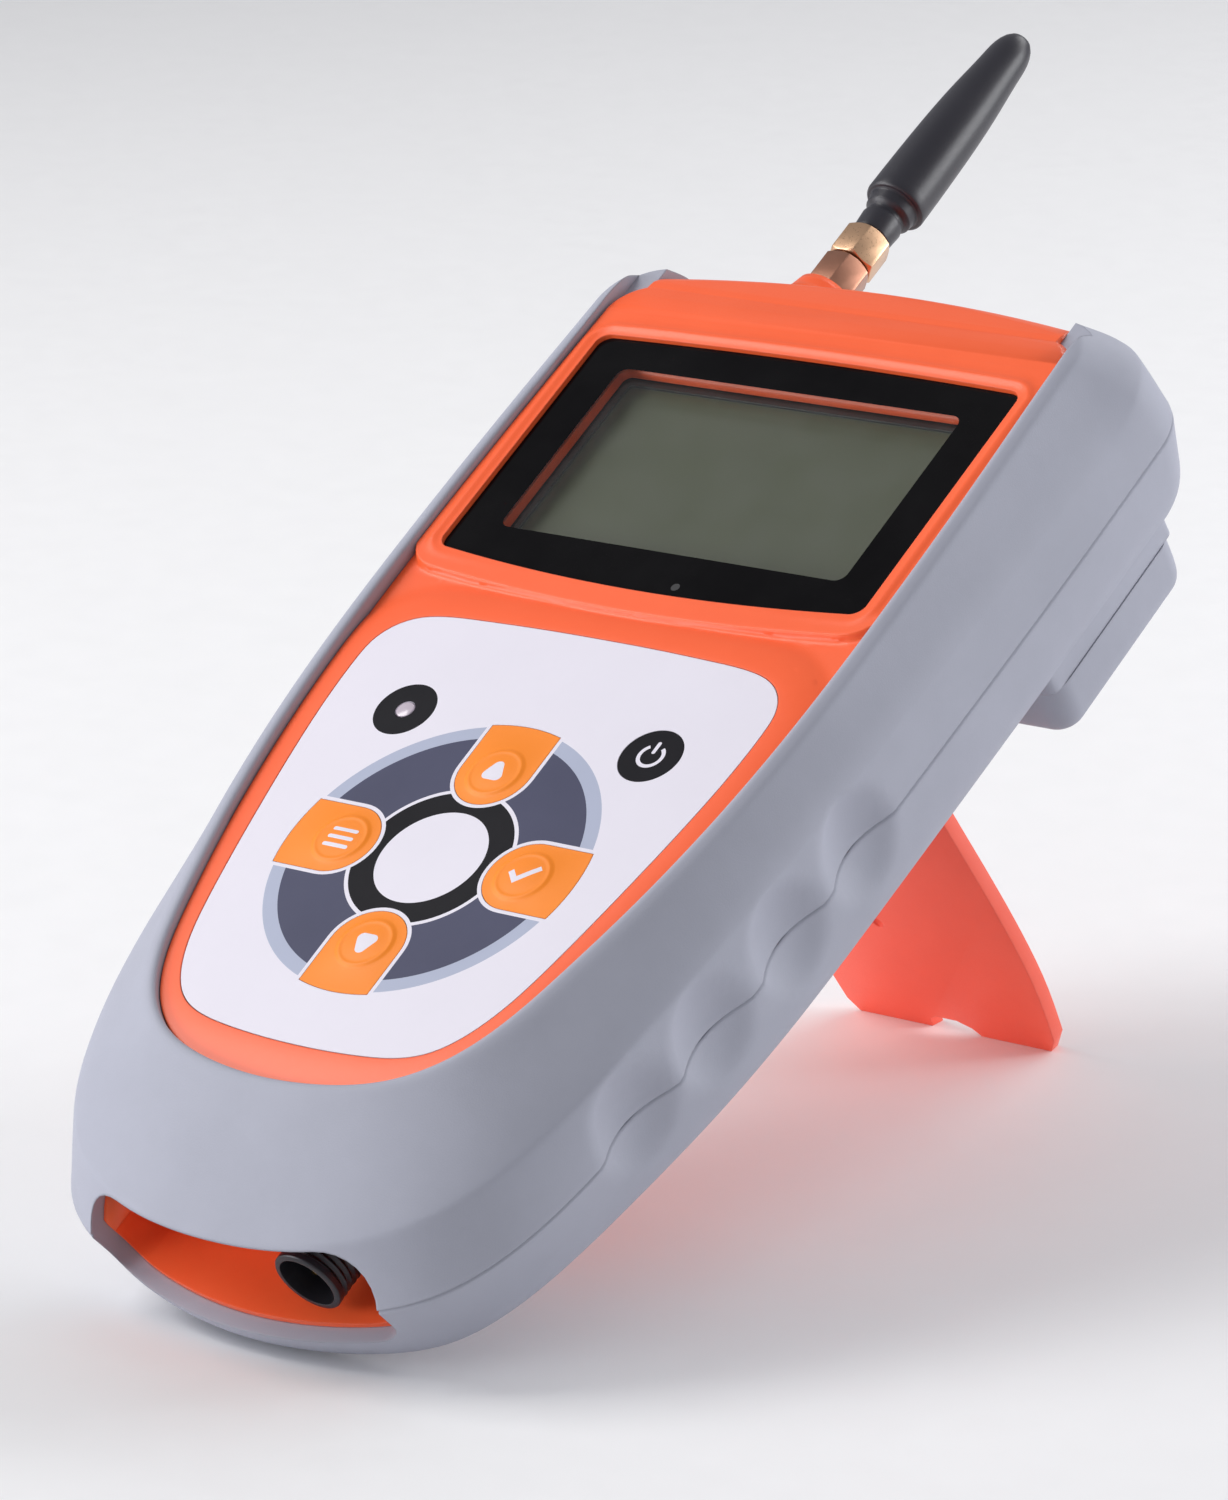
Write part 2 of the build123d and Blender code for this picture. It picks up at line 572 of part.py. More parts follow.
with BuildPart() as light_sensor:
    with BuildSketch(Plane.XY.offset(MODULE_TOP_Z)):
        with Locations(SENSOR_CENTRE):
            Rectangle(2.0, 2.0)
    extrude(amount=1.3)
finish(light_sensor, "light_sensor")


def screw_group(name, places, seat_z, length, shank, head, head_height):
    """Identical pan-head screws driven from the back, in one group."""
    with BuildPart() as group:
        with BuildSketch(Plane.XY.offset(seat_z)):
            with Locations(*places):
                Circle(shank)
        extrude(amount=length)
        with BuildSketch(Plane.XY.offset(seat_z - head_height)):
            with Locations(*places):
                Circle(head)
        extrude(amount=head_height)
        fillet(group.faces().group_by(Axis.Z)[0].edges(), 0.4)
        with BuildSketch(Plane.XY.offset(seat_z - head_height)):
            with Locations(*places):
                Rectangle(2 * head * 0.7, 0.5)
                Rectangle(0.5, 2 * head * 0.7)
        extrude(amount=head_height * 0.5, mode=Mode.SUBTRACT)
    finish(group, name)


screw_group("lcd_screws", MODULE_SCREWS, MODULE_TOP_Z - BOARD_THICKNESS, 5.5, SCREW_RADIUS, 2.0, 1.4)
screw_group("board_screws", MAIN_BOARD_HOLES, MAIN_BOARD_TOP_Z - BOARD_THICKNESS, 7.5, SCREW_RADIUS, 2.0, 1.4)
screw_group("case_screws", CASE_SCREWS, CASE_BACK_Z + 2.6, 20.0, SCREW_RADIUS + 0.3, 2.7, 2.0)

# ---------------------------------------------------------------- keypad
key_holes = [place * outline(0.0) for place, outline, dome in KEYS.values()]

with BuildPart() as keypad_overlay:
    with BuildSketch(Plane.XY.offset(-OVERLAY_THICKNESS)):
        add(overlay_outline(0.0))
        for hole in key_holes:
            add(hole, mode=Mode.SUBTRACT)
        with Locations(STATUS_CENTRE):
            Circle(PIPE_RADIUS + 0.1, mode=Mode.SUBTRACT)
    extrude(amount=OVERLAY_THICKNESS)
finish(keypad_overlay, "keypad_overlay")

with BuildPart() as keypad_spacer:
    with BuildSketch(Plane.XY.offset(-OVERLAY_THICKNESS - SPACER_THICKNESS)):
        add(overlay_outline(0.2))
        for hole in key_holes:
            add(hole, mode=Mode.SUBTRACT)
        with Locations(STATUS_CENTRE):
            Circle(PIPE_RADIUS + 0.1, mode=Mode.SUBTRACT)
    extrude(amount=SPACER_THICKNESS)
finish(keypad_spacer, "keypad_spacer")

with BuildPart() as keypad_circuit:
    with BuildSketch(Plane.XY.offset(RECESS_Z)):
        add(overlay_outline(0.2))
        with Locations(STATUS_CENTRE):
            Circle(PIPE_RADIUS + 0.1, mode=Mode.SUBTRACT)
    extrude(amount=CIRCUIT_THICKNESS)
    # Tail that drops through the housing to its socket on the main board.
    with BuildSketch(Plane.XY.offset(MAIN_BOARD_TOP_Z + 1.0)):
        with Locations((0, 45.5)):
            Rectangle(12, 0.3)
    extrude(amount=RECESS_Z + 0.1 - MAIN_BOARD_TOP_Z - 1.0)
finish(keypad_circuit, "keypad_circuit")

for key_name, (place, outline, dome) in KEYS.items():
    with BuildPart() as key:
        with BuildSketch(Plane.XY.offset(-OVERLAY_THICKNESS)):
            add(place * outline(KEY_CLEARANCE))
        extrude(amount=OVERLAY_THICKNESS)
        if key_name != "key_power":
            sphere_radius = (KEY_DOME_RADIUS ** 2 + KEY_DOME_HEIGHT ** 2) / (2 * KEY_DOME_HEIGHT)
            cap = Pos(dome, 0, KEY_DOME_HEIGHT - sphere_radius) * Sphere(sphere_radius, mode=Mode.PRIVATE)
            cap = cap & box_between((dome - 6, -6, -OVERLAY_THICKNESS / 2), (dome + 6, 6, 2))
            add(place * cap)
    finish(key, key_name)
    with BuildPart() as snap_dome:
        with BuildSketch(Plane.XY.offset(-OVERLAY_THICKNESS - SNAP_DOME_HEIGHT)):
            with Locations(place * Location((dome, 0))):
                Circle(SNAP_DOME_RADIUS - 0.5)
        with BuildSketch(Plane.XY.offset(-OVERLAY_THICKNESS)):
            with Locations(place * Location((dome, 0))):
                Circle(SNAP_DOME_RADIUS)
        loft()
    finish(snap_dome, key_name.replace("key", "dome"))

with BuildPart() as light_pipe:
    with BuildSketch(Plane.XY.offset(MAIN_BOARD_TOP_Z + 1.4)):
        with Locations(STATUS_CENTRE):
            Circle(PIPE_RADIUS)
    extrude(amount=-MAIN_BOARD_TOP_Z - 1.4 + 0.1)
    fillet(light_pipe.faces().sort_by(Axis.Z)[-1].edges(), 0.3)
finish(light_pipe, "light_pipe")

with BuildPart() as status_led:
    with BuildSketch(Plane.XY.offset(MAIN_BOARD_TOP_Z)):
        with Locations(STATUS_CENTRE):
            Rectangle(3.2, 1.8)
    extrude(amount=1.2)
finish(status_led, "status_led")

# ---------------------------------------------------------------- main board and what it carries
with BuildPart() as main_board:
    with BuildSketch(Plane.XY.offset(MAIN_BOARD_TOP_Z - BOARD_THICKNESS)):
        with BuildLine():
            Polyline(*MAIN_BOARD_EDGE, *[(-x, y) for x, y in reversed(MAIN_BOARD_EDGE)], close=True)
        make_face()
        with Locations(*MAIN_BOARD_HOLES):
            Circle(1.3, mode=Mode.SUBTRACT)
    extrude(amount=BOARD_THICKNESS)
finish(main_board, "main_board")

BOARD_REAR_Z = MAIN_BOARD_TOP_Z - BOARD_THICKNESS

with BuildPart() as keypad_socket:
    with BuildSketch(Plane.XY.offset(MAIN_BOARD_TOP_Z)):
        with Locations((0, 45.5)):
            Rectangle(16, 4.4)
            Rectangle(12.2, 0.5, mode=Mode.SUBTRACT)
    extrude(amount=2.0)
finish(keypad_socket, "keypad_socket")

with BuildPart() as display_header:
    with BuildSketch(Plane.XY.offset(MAIN_BOARD_TOP_Z)):
        with Locations((0, 58.5)):
            Rectangle(51, 2.5)
    extrude(amount=MODULE_TOP_Z - BOARD_THICKNESS - MAIN_BOARD_TOP_Z)
finish(display_header, "display_header")

with BuildPart() as rf_shield:
    with BuildSketch(Plane.XY.offset(BOARD_REAR_Z - 5.0)):
        with Locations((-17, 62)):
            Rectangle(32, 30)
    extrude(amount=5.0)
    chamfer(rf_shield.faces().sort_by(Axis.Z)[0].edges(), 0.4)
    with BuildSketch(Plane.XY.offset(BOARD_REAR_Z - 4.7)):
        with Locations((-17, 62)):
            Rectangle(31.4, 29.4)
    extrude(amount=4.7, mode=Mode.SUBTRACT)
    with BuildSketch(along_y(ANTENNA_X, 70, BOARD_REAR_Z - 2.6)):
        Circle(1.3)
    extrude(amount=10, mode=Mode.SUBTRACT)
finish(rf_shield, "rf_shield")

with BuildPart() as board_chips:
    for x, y, width, height, tall in [(18, 20, 14, 14, 1.4), (-16, 14, 10, 10, 1.2), (20, 54, 9, 6, 1.6),
                                      (-12, -20, 8, 5, 1.6), (-19, 60, 12, 12, 1.4)]:
        with BuildSketch(Plane.XY.offset(BOARD_REAR_Z - tall)):
            with Locations((x, y)):
                Rectangle(width, height)
        extrude(amount=tall)
finish(board_chips, "board_chips")

# ---------------------------------------------------------------- antenna jack, cable and antenna
with BuildPart() as sma_jack:
    add(rod_y(ANTENNA_X, ANTENNA_Z, JACK_THREAD_RADIUS, 133.0, JACK_END_Y))
    add(hex_y(ANTENNA_X, ANTENNA_Z, HEX_FLATS, 132.0, 134.0))
    add(rod_y(ANTENNA_X, ANTENNA_Z, 1.9, 129.5, 132.5))
    add(rod_y(ANTENNA_X, ANTENNA_Z, 2.3, JACK_END_Y - 4.0, JACK_END_Y + 1), mode=Mode.SUBTRACT)
    add(rod_y(ANTENNA_X, ANTENNA_Z, 0.95, 128, 131.5), mode=Mode.SUBTRACT)
finish(sma_jack, "sma_jack")

with BuildPart() as jack_insulator:
    add(rod_y(ANTENNA_X, ANTENNA_Z, 2.3, JACK_END_Y - 4.0, JACK_END_Y - 0.8))
    add(rod_y(ANTENNA_X, ANTENNA_Z, 0.6, JACK_END_Y - 3.4, JACK_END_Y), mode=Mode.SUBTRACT)
finish(jack_insulator, "jack_insulator")

with BuildPart() as jack_nut:
    add(hex_y(ANTENNA_X, ANTENNA_Z, HEX_FLATS, BOSS_END_Y, JACK_NUT_END_Y))
    chamfer(jack_nut.faces().sort_by(Axis.Y)[-1].edges(), 0.4)
    add(rod_y(ANTENNA_X, ANTENNA_Z, JACK_THREAD_RADIUS, 140, 155), mode=Mode.SUBTRACT)
finish(jack_nut, "jack_nut")

with BuildPart() as coupling_nut:
    add(hex_y(ANTENNA_X, ANTENNA_Z, HEX_FLATS, *COUPLING_Y))
    chamfer(coupling_nut.faces().sort_by(Axis.Y)[-1].edges(), 0.4)
    add(rod_y(ANTENNA_X, ANTENNA_Z, JACK_THREAD_RADIUS + COUPLING_CLEARANCE, 149, COUPLING_THREAD_END_Y),
        mode=Mode.SUBTRACT)
    add(rod_y(ANTENNA_X, ANTENNA_Z, 2.55, 150, 165), mode=Mode.SUBTRACT)
finish(coupling_nut, "coupling_nut")

with BuildPart() as antenna_plug:
    add(rod_y(ANTENNA_X, ANTENNA_Z, 3.05, JACK_END_Y + 0.02, COUPLING_THREAD_END_Y - 0.1))
    add(rod_y(ANTENNA_X, ANTENNA_Z, 2.48, COUPLING_THREAD_END_Y - 0.4, 166.0))
    add(rod_y(ANTENNA_X, ANTENNA_Z, 0.45, JACK_END_Y - 2.6, COUPLING_THREAD_END_Y - 0.4))
finish(antenna_plug, "antenna_plug")

WHIP_PROFILE = [(3.6, 158.9), (3.9, 163.2), (3.4, 163.6), (3.4, 164.4), (4.3, 164.9), (4.6, WHIP_BASE_Y)]
WHIP_TAPER = [(5.65, WHIP_BASE_Y + 0.9), (5.4, 181.5), (4.7, 195.5), (3.9, 204.6), (2.9, 209.9)]

whip_plane = Plane(origin=(ANTENNA_X, 0, ANTENNA_Z))

with BuildPart() as antenna_whip:
    with BuildSketch(whip_plane):
        with BuildLine():
            Polyline((0, WHIP_PROFILE[0][1]), *WHIP_PROFILE, (5.2, WHIP_BASE_Y), WHIP_TAPER[0])
            Spline(*WHIP_TAPER, (0, WHIP_TIP_Y), tangents=[(0, 1), (-1, 0)])
            Line((0, WHIP_TIP_Y), (0, WHIP_PROFILE[0][1]))
        make_face()
    revolve(axis=Axis((ANTENNA_X, 0, ANTENNA_Z), (0, 1, 0)))
    add(rod_y(ANTENNA_X, ANTENNA_Z, 2.48, 150, 166.0), mode=Mode.SUBTRACT)
finish(antenna_whip, "antenna_whip")

CABLE_RADIUS = 0.9
CABLE_BOARD_Z = BOARD_REAR_Z - 2.6

with BuildPart() as rf_cable:
    with BuildLine() as cable_route:
        FilletPolyline(
            (ANTENNA_X, 131.4, ANTENNA_Z), (ANTENNA_X, 123.5, ANTENNA_Z),
            (ANTENNA_X, 115, CABLE_BOARD_Z), (ANTENNA_X, 74.5, CABLE_BOARD_Z), radius=9.0)
    with BuildSketch(Plane(origin=(ANTENNA_X, 131.4, ANTENNA_Z), z_dir=(0, -1, 0))):
        Circle(CABLE_RADIUS)
    sweep()
finish(rf_cable, "rf_cable")

# ---------------------------------------------------------------- round connector in the bottom pocket
with BuildPart() as connector_shell:
    shell_end = POCKET_FLOOR_Y + END_PANEL + 4
    add(rod_y(CONNECTOR_X, CONNECTOR_Z, CONNECTOR_RADIUS, CONNECTOR_END_Y, shell_end))
    add(rod_y(CONNECTOR_X, CONNECTOR_Z, 7.2, POCKET_FLOOR_Y - 1.5, POCKET_FLOOR_Y))
    add(rod_y(CONNECTOR_X, CONNECTOR_Z, 4.9, CONNECTOR_END_Y - 1, CONNECTOR_END_Y + 8.0), mode=Mode.SUBTRACT)
    add(rod_y(CONNECTOR_X, CONNECTOR_Z, 4.4, -63, -40), mode=Mode.SUBTRACT)
finish(connector_shell, "connector_shell")

PIN_RING = [(2.6 * cos(2 * pi * k / 4 + pi / 4), 2.6 * sin(2 * pi * k / 4 + pi / 4)) for k in range(4)]

with BuildPart() as connector_insert:
    add(rod_y(CONNECTOR_X, CONNECTOR_Z, 4.4, CONNECTOR_END_Y + 8.0, -53.5))
    for px, pz in PIN_RING:
        add(rod_y(CONNECTOR_X + px, CONNECTOR_Z + pz, 0.5, -75, -50), mode=Mode.SUBTRACT)
finish(connector_insert, "connector_insert")

with BuildPart() as connector_pins:
    for px, pz in PIN_RING:
        add(rod_y(CONNECTOR_X + px, CONNECTOR_Z + pz, 0.5, CONNECTOR_END_Y + 3.2, -51.5))
finish(connector_pins, "connector_pins")

with BuildPart() as connector_nut:
    nut_start = POCKET_FLOOR_Y + END_PANEL
    add(hex_y(CONNECTOR_X, CONNECTOR_Z, 14.0, nut_start, nut_start + 2.2))
    add(rod_y(CONNECTOR_X, CONNECTOR_Z, CONNECTOR_RADIUS, -60, -50), mode=Mode.SUBTRACT)
finish(connector_nut, "connector_nut")

with BuildPart() as connector_leads:
    add(rod_y(CONNECTOR_X, CONNECTOR_Z, 1.6, -53.5, -38.0))
finish(connector_leads, "connector_leads")

with BuildPart() as lead_header:
    add(box_between((CONNECTOR_X - 5, -38.0, -21.6), (CONNECTOR_X + 5, -32.0, BOARD_REAR_Z)))
finish(lead_header, "lead_header")

# ---------------------------------------------------------------- batteries
for row, row_y in enumerate(CELL_ROWS):
    for side, direction in (("left", -1), ("right", 1)):
        inner_x = direction * 0.6
        outer_x = direction * (0.6 + CELL_LENGTH)
        can_start = min(inner_x, outer_x)
        with BuildPart() as cell:
            with BuildSketch(Plane.YZ.offset(can_start)):
                with Locations((row_y, CELL_Z)):
                    Circle(CELL_DIAMETER / 2)
            extrude(amount=CELL_LENGTH)
            fillet(cell.edges().filter_by(GeomType.CIRCLE), 0.5)
        finish(cell, f"battery_{'lower' if row == 0 else 'upper'}_{side}")

with BuildPart() as battery_contacts:
    for row_y in CELL_ROWS:
        for direction in (-1, 1):
            near = direction * (0.6 + CELL_LENGTH)
            far = direction * BAY_HALF_WIDTH
            add(box_between((min(far, far - direction * 0.4), row_y - 4.5, -43),
                            (max(far, far - direction * 0.4), row_y + 4.5, BAY_FLOOR_Z)))
            with BuildSketch(Plane.YZ.offset(min(near, far - direction * 0.4))):
                with Locations((row_y, CELL_Z)):
                    Circle(3.2)
                    Circle(2.4, mode=Mode.SUBTRACT)
            extrude(amount=abs(far - direction * 0.4 - near))
finish(battery_contacts, "battery_contacts")

with BuildPart() as battery_door:
    with BuildSketch(Plane.XY.offset(DOOR_BACK_Z)):
        with Locations((0, sum(DOOR_Y) / 2)):
            RectangleRounded(2 * DOOR_HALF_WIDTH, DOOR_Y[1] - DOOR_Y[0], 6.0)
    extrude(amount=BOOT_BACK_Z - DOOR_BACK_Z)
    fillet(battery_door.faces().sort_by(Axis.Z)[0].edges(), 4.0)
    add(box_between((-DOOR_HALF_WIDTH + DOOR_WALL, DOOR_Y[0] + DOOR_WALL, DOOR_BACK_Z + 1.6),
                    (DOOR_HALF_WIDTH - DOOR_WALL, DOOR_Y[1] - DOOR_WALL, BOOT_BACK_Z)), mode=Mode.SUBTRACT)
    # Hinge knuckle between the two ears.
    add(box_between((-DOOR_EAR_X[0] + 0.2, DOOR_Y[1] - 0.5, DOOR_AXIS_Z - 1.2),
                    (DOOR_EAR_X[0] - 0.2, DOOR_AXIS_Y, DOOR_AXIS_Z + 1.2)))
    with BuildSketch(Plane.YZ.offset(-DOOR_EAR_X[0] + 0.2)):
        with Locations((DOOR_AXIS_Y, DOOR_AXIS_Z)):
            Circle(1.2)
    extrude(amount=2 * DOOR_EAR_X[0] - 0.4)
    with BuildSketch(Plane.YZ.offset(-30)):
        with Locations((DOOR_AXIS_Y, DOOR_AXIS_Z)):
            Circle(DOOR_PIN_RADIUS + 0.05)
    extrude(amount=60, mode=Mode.SUBTRACT)
    # Notches that let the wall swing past the ears.
    for ear_start in (DOOR_EAR_X[0], -DOOR_EAR_X[1]):
        notch_end = ear_start + DOOR_EAR_X[1] - DOOR_EAR_X[0] + 0.15
        add(box_between((ear_start - 0.15, DOOR_Y[1] - DOOR_WALL - 0.2, DOOR_AXIS_Z - 2.5),
                        (notch_end, DOOR_Y[1] + 0.1, BOOT_BACK_Z + 0.1)), mode=Mode.SUBTRACT)
finish(battery_door, "battery_door")

with BuildPart() as door_pin:
    with BuildSketch(Plane.YZ.offset(-DOOR_EAR_X[1])):
        with Locations((DOOR_AXIS_Y, DOOR_AXIS_Z)):
            Circle(DOOR_PIN_RADIUS)
    extrude(amount=2 * DOOR_EAR_X[1])
finish(door_pin, "door_pin")

LEAD_RADIUS = 0.6
LEAD_Z = -24.0
LEAD_START_Z = BAY_FLOOR_Z + 1.6


def battery_lead(name, x):
    """One lead from the battery bay to the back of the main board."""
    with BuildPart() as lead:
        with BuildLine():
            FilletPolyline(
                (x, 94, LEAD_START_Z), (x, 94, LEAD_Z), (x, 70, LEAD_Z), (x, 70, BOARD_REAR_Z), radius=2.4)
        with BuildSketch(Plane(origin=(x, 94, LEAD_START_Z), z_dir=(0, 0, 1))):
            Circle(LEAD_RADIUS)
        sweep()
    finish(lead, name)


battery_lead("lead_positive", 30.0)
battery_lead("lead_negative", 33.0)

# ---------------------------------------------------------------- fold-out stand
STAND_SIDE = [(18.4, 0.0), (19.6, 20.0), (21.0, 36.0), (22.5, 49.0), (23.8, 64.0), (23.9, 77.0), (22.6, 89.0)]

with BuildPart() as kickstand:
    with BuildSketch(Plane.XZ.offset(-STAND_AXIS_Y - STAND_THICKNESS / 2)):
        with BuildLine():
            side = [(x, STAND_AXIS_Z - s) for x, s in STAND_SIDE]
            Spline(*side)
            Polyline(side[-1], (19.6, STAND_AXIS_Z - STAND_LENGTH), (6.0, STAND_AXIS_Z - STAND_LENGTH),
                     (4.0, STAND_AXIS_Z - STAND_LENGTH + 4.6), (-4.0, STAND_AXIS_Z - STAND_LENGTH + 4.6),
                     (-6.0, STAND_AXIS_Z - STAND_LENGTH), (-19.6, STAND_AXIS_Z - STAND_LENGTH),
                     (-side[-1][0], side[-1][1]))
            Spline(*[(-x, z) for x, z in reversed(side)])
            Line((-side[0][0], side[0][1]), side[0])
        make_face()
    extrude(amount=STAND_THICKNESS)
    with BuildSketch(Plane.YZ.offset(-STAND_SIDE[0][0])):
        with Locations((STAND_AXIS_Y, STAND_AXIS_Z)):
            Circle(2.5)
    extrude(amount=2 * STAND_SIDE[0][0])
    with BuildSketch(Plane.YZ.offset(-30)):
        with Locations((STAND_AXIS_Y, STAND_AXIS_Z)):
            Circle(PIN_RADIUS + 0.06)
    extrude(amount=60, mode=Mode.SUBTRACT)
    # Flat foot, level when the stand is open.
    add(ground, mode=Mode.SUBTRACT)
finish(kickstand, "kickstand")

with BuildPart() as stand_pin:
    with BuildSketch(Plane.YZ.offset(-EAR_X[1])):
        with Locations((STAND_AXIS_Y, STAND_AXIS_Z)):
            Circle(PIN_RADIUS)
    extrude(amount=2 * EAR_X[1])
finish(stand_pin, "stand_pin")

# ---------------------------------------------------------------- lean onto the stand and write
lean = Rot(LEAN, 0, 0)
standing = Compound([lean * piece for piece in finished]).bounding_box()
place = Pos(-standing.center().X, -standing.center().Y, -standing.min.Z) * lean

for piece in finished:
    label = piece.label
    written = place * piece
    written.label = label
    export_step(written, f"parts/{label}.step")

print("instrument origin stands at", tuple(place.position), "and leans", LEAN)
print("overall size", tuple(standing.size))
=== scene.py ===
import json
import math

import bmesh
import bpy
import numpy as np
from mathutils import Matrix, Vector, geometry


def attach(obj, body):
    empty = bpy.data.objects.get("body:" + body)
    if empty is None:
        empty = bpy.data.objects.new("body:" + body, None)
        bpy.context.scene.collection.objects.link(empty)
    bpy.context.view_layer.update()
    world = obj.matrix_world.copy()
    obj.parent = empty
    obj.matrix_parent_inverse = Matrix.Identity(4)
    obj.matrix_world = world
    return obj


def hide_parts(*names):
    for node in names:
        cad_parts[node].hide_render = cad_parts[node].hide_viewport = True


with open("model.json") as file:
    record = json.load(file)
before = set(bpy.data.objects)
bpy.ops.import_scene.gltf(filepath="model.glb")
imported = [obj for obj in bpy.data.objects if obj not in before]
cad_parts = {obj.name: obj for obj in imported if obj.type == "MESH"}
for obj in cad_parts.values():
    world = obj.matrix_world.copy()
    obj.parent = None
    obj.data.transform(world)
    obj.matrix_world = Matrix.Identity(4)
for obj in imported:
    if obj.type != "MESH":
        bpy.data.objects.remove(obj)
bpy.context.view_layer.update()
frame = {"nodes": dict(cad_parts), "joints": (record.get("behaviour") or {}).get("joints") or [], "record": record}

# Looks of a handheld spectrum analyzer. Shapes are written in the instrument's own frame, in millimetres: X across
# the face, Y towards the antenna, Z out of the face, origin at the centre of the key ring. The frame's joints say
# where that frame stands.

MM = 0.001
STAND_AXIS_Y, STAND_AXIS_Z = 83.0, -35.8
JOINTS = {joint["name"]: joint for joint in frame["joints"]}
FACE_NORMAL = -Vector(JOINTS["ok_key_press"]["axis"])
ACROSS = Vector((1, 0, 0))
ALONG = FACE_NORMAL.cross(ACROSS)
ORIGIN = Vector(JOINTS["stand_hinge"]["pos_m"]) - MM * (STAND_AXIS_Y * ALONG + STAND_AXIS_Z * FACE_NORMAL)
TURN = Matrix((ACROSS, ALONG, FACE_NORMAL)).transposed().to_4x4()
TO_ROW = Matrix.Translation(ORIGIN) @ TURN @ Matrix.Scale(MM, 4)
TO_DEVICE = TO_ROW.inverted()

# ---------------------------------------------------------------- driving dimensions
FACE_EDGE = [(47.3, 118.0), (48.2, 95.0), (48.5, 65.0), (47.4, 32.0), (45.0, 11.0), (42.2, -4.0),
             (39.0, -17.0), (35.6, -28.0), (30.8, -36.8), (23.6, -43.2), (12.5, -47.1), (0.0, -48.3)]
RIDGE_EDGE = [(56.2, 126.0), (56.2, 100.0), (56.0, 65.0), (55.3, 32.0), (54.2, 8.0), (52.5, -12.0),
              (49.8, -31.0), (46.2, -43.5), (41.5, -53.5), (34.0, -62.2), (19.0, -69.8), (0.0, -72.2)]
BODY_EDGE = [(58.0, 126.0), (58.0, 100.0), (57.4, 65.0), (56.5, 32.0), (55.6, 8.0), (54.0, -12.0),
             (51.4, -30.0), (48.6, -45.5), (44.6, -57.0), (37.6, -66.6), (22.0, -74.2), (0.0, -77.2)]
REAR_EDGE = [(57.0, 126.0), (57.0, 100.0), (56.5, 65.0), (55.8, 32.0), (54.8, 8.0), (52.6, -12.0),
             (49.2, -30.0), (45.6, -45.0), (41.6, -56.0), (34.8, -65.6), (20.0, -72.6), (0.0, -75.2)]
BOOT_THICKNESS = 3.2
MOULD_Z = -20.0
BOOT_BACK_Z = -37.0
GROUND_DEPTH = 67.5

LENS_HALF_WIDTH, LENS_CORNER = 44.2, 2.5
LENS_SIDE_Y, LENS_MIDDLE_Y = (64.0, 116.5), (61.5, 117.3)
LENS_TOP_Z, LENS_THICKNESS = -0.8, 1.5
VIEW_WIDTH, VIEW_HEIGHT, VIEW_Y = 72.0, 39.0, 90.5
SENSOR_CENTRE = (6.4, 64.1)

OVERLAY_EDGE = [(0.0, 49.9), (12.0, 49.8), (24.0, 49.4), (32.0, 48.8), (36.8, 47.5), (40.2, 44.9), (42.0, 41.6),
                (42.5, 37.0), (41.0, 17.0), (38.7, 2.0), (35.3, -16.0), (31.0, -29.5), (25.5, -36.5), (14.0, -39.9),
                (0.0, -40.6)]
OVERLAY_THICKNESS = 0.6
FACE_END_Y = 122.0
FACE_BACK_Z = -1.5
KEY_WIDTH, KEY_INNER, KEY_OUTER = 14.3, 12.0, 29.4
KEY_GAP, KEY_OUTLINE = 0.1, 0.7
DOME_CENTRE, DOME_RADIUS, DOME_HEIGHT = 19.0, 5.5, 0.5
DISC_RADIUS = 5.7
POWER_CENTRE, STATUS_CENTRE, PIPE_RADIUS = (25.7, 28.3), (-25.7, 28.3), 1.7

ANTENNA_X, ANTENNA_Z = -19.0, -12.5
CONNECTOR_X, CONNECTOR_Z = 15.0, -19.2


# ---------------------------------------------------------------- curves
def smooth_through(points, count):
    """Natural cubic through points, sampled evenly by chord length."""
    points = np.array(points, float)
    knots = np.concatenate([[0], np.cumsum(np.linalg.norm(np.diff(points, axis=0), axis=1))])
    n = len(points)
    step = np.diff(knots)
    system = np.eye(n)
    right = np.zeros_like(points)
    for i in range(1, n - 1):
        system[i, i - 1:i + 2] = step[i - 1], 2 * (step[i - 1] + step[i]), step[i]
        right[i] = 6 * ((points[i + 1] - points[i]) / step[i] - (points[i] - points[i - 1]) / step[i - 1])
    bend = np.linalg.solve(system, right)
    out = []
    for t in np.linspace(0, knots[-1], count):
        i = min(int(np.searchsorted(knots, t, side="right")) - 1, n - 2)
        a, b = (knots[i + 1] - t) / step[i], (t - knots[i]) / step[i]
        out.append(a * points[i] + b * points[i + 1]
                   + ((a ** 3 - a) * bend[i] + (b ** 3 - b) * bend[i + 1]) * step[i] ** 2 / 6)
    return np.array(out)


def smooth_loop(points, count):
    """Closed smooth curve through points."""
    lead = 4
    wrapped = np.vstack([points[-lead:], points, points[:lead + 1]])
    knots = np.concatenate([[0], np.cumsum(np.linalg.norm(np.diff(wrapped, axis=0), axis=1))])
    fine = 4 * count
    curve = smooth_through(wrapped, fine)
    at = np.linspace(0, knots[-1], fine)
    start, end = knots[lead], knots[lead + len(points)]
    wanted = np.linspace(start, end, count, endpoint=False)
    return np.column_stack([np.interp(wanted, at, curve[:, k]) for k in (0, 1)])


def grown(outline, amount):
    """A smooth closed outline moved outwards; it may run either way round."""
    run = np.roll(outline, -1, axis=0) - np.roll(outline, 1, axis=0)
    run /= np.linalg.norm(run, axis=1)[:, None]
    x, y = outline[:, 0], outline[:, 1]
    way = np.sign(np.sum(x * np.roll(y, -1) - np.roll(x, -1) * y))
    return outline + amount * way * np.stack([run[:, 1], -run[:, 0]], 1)


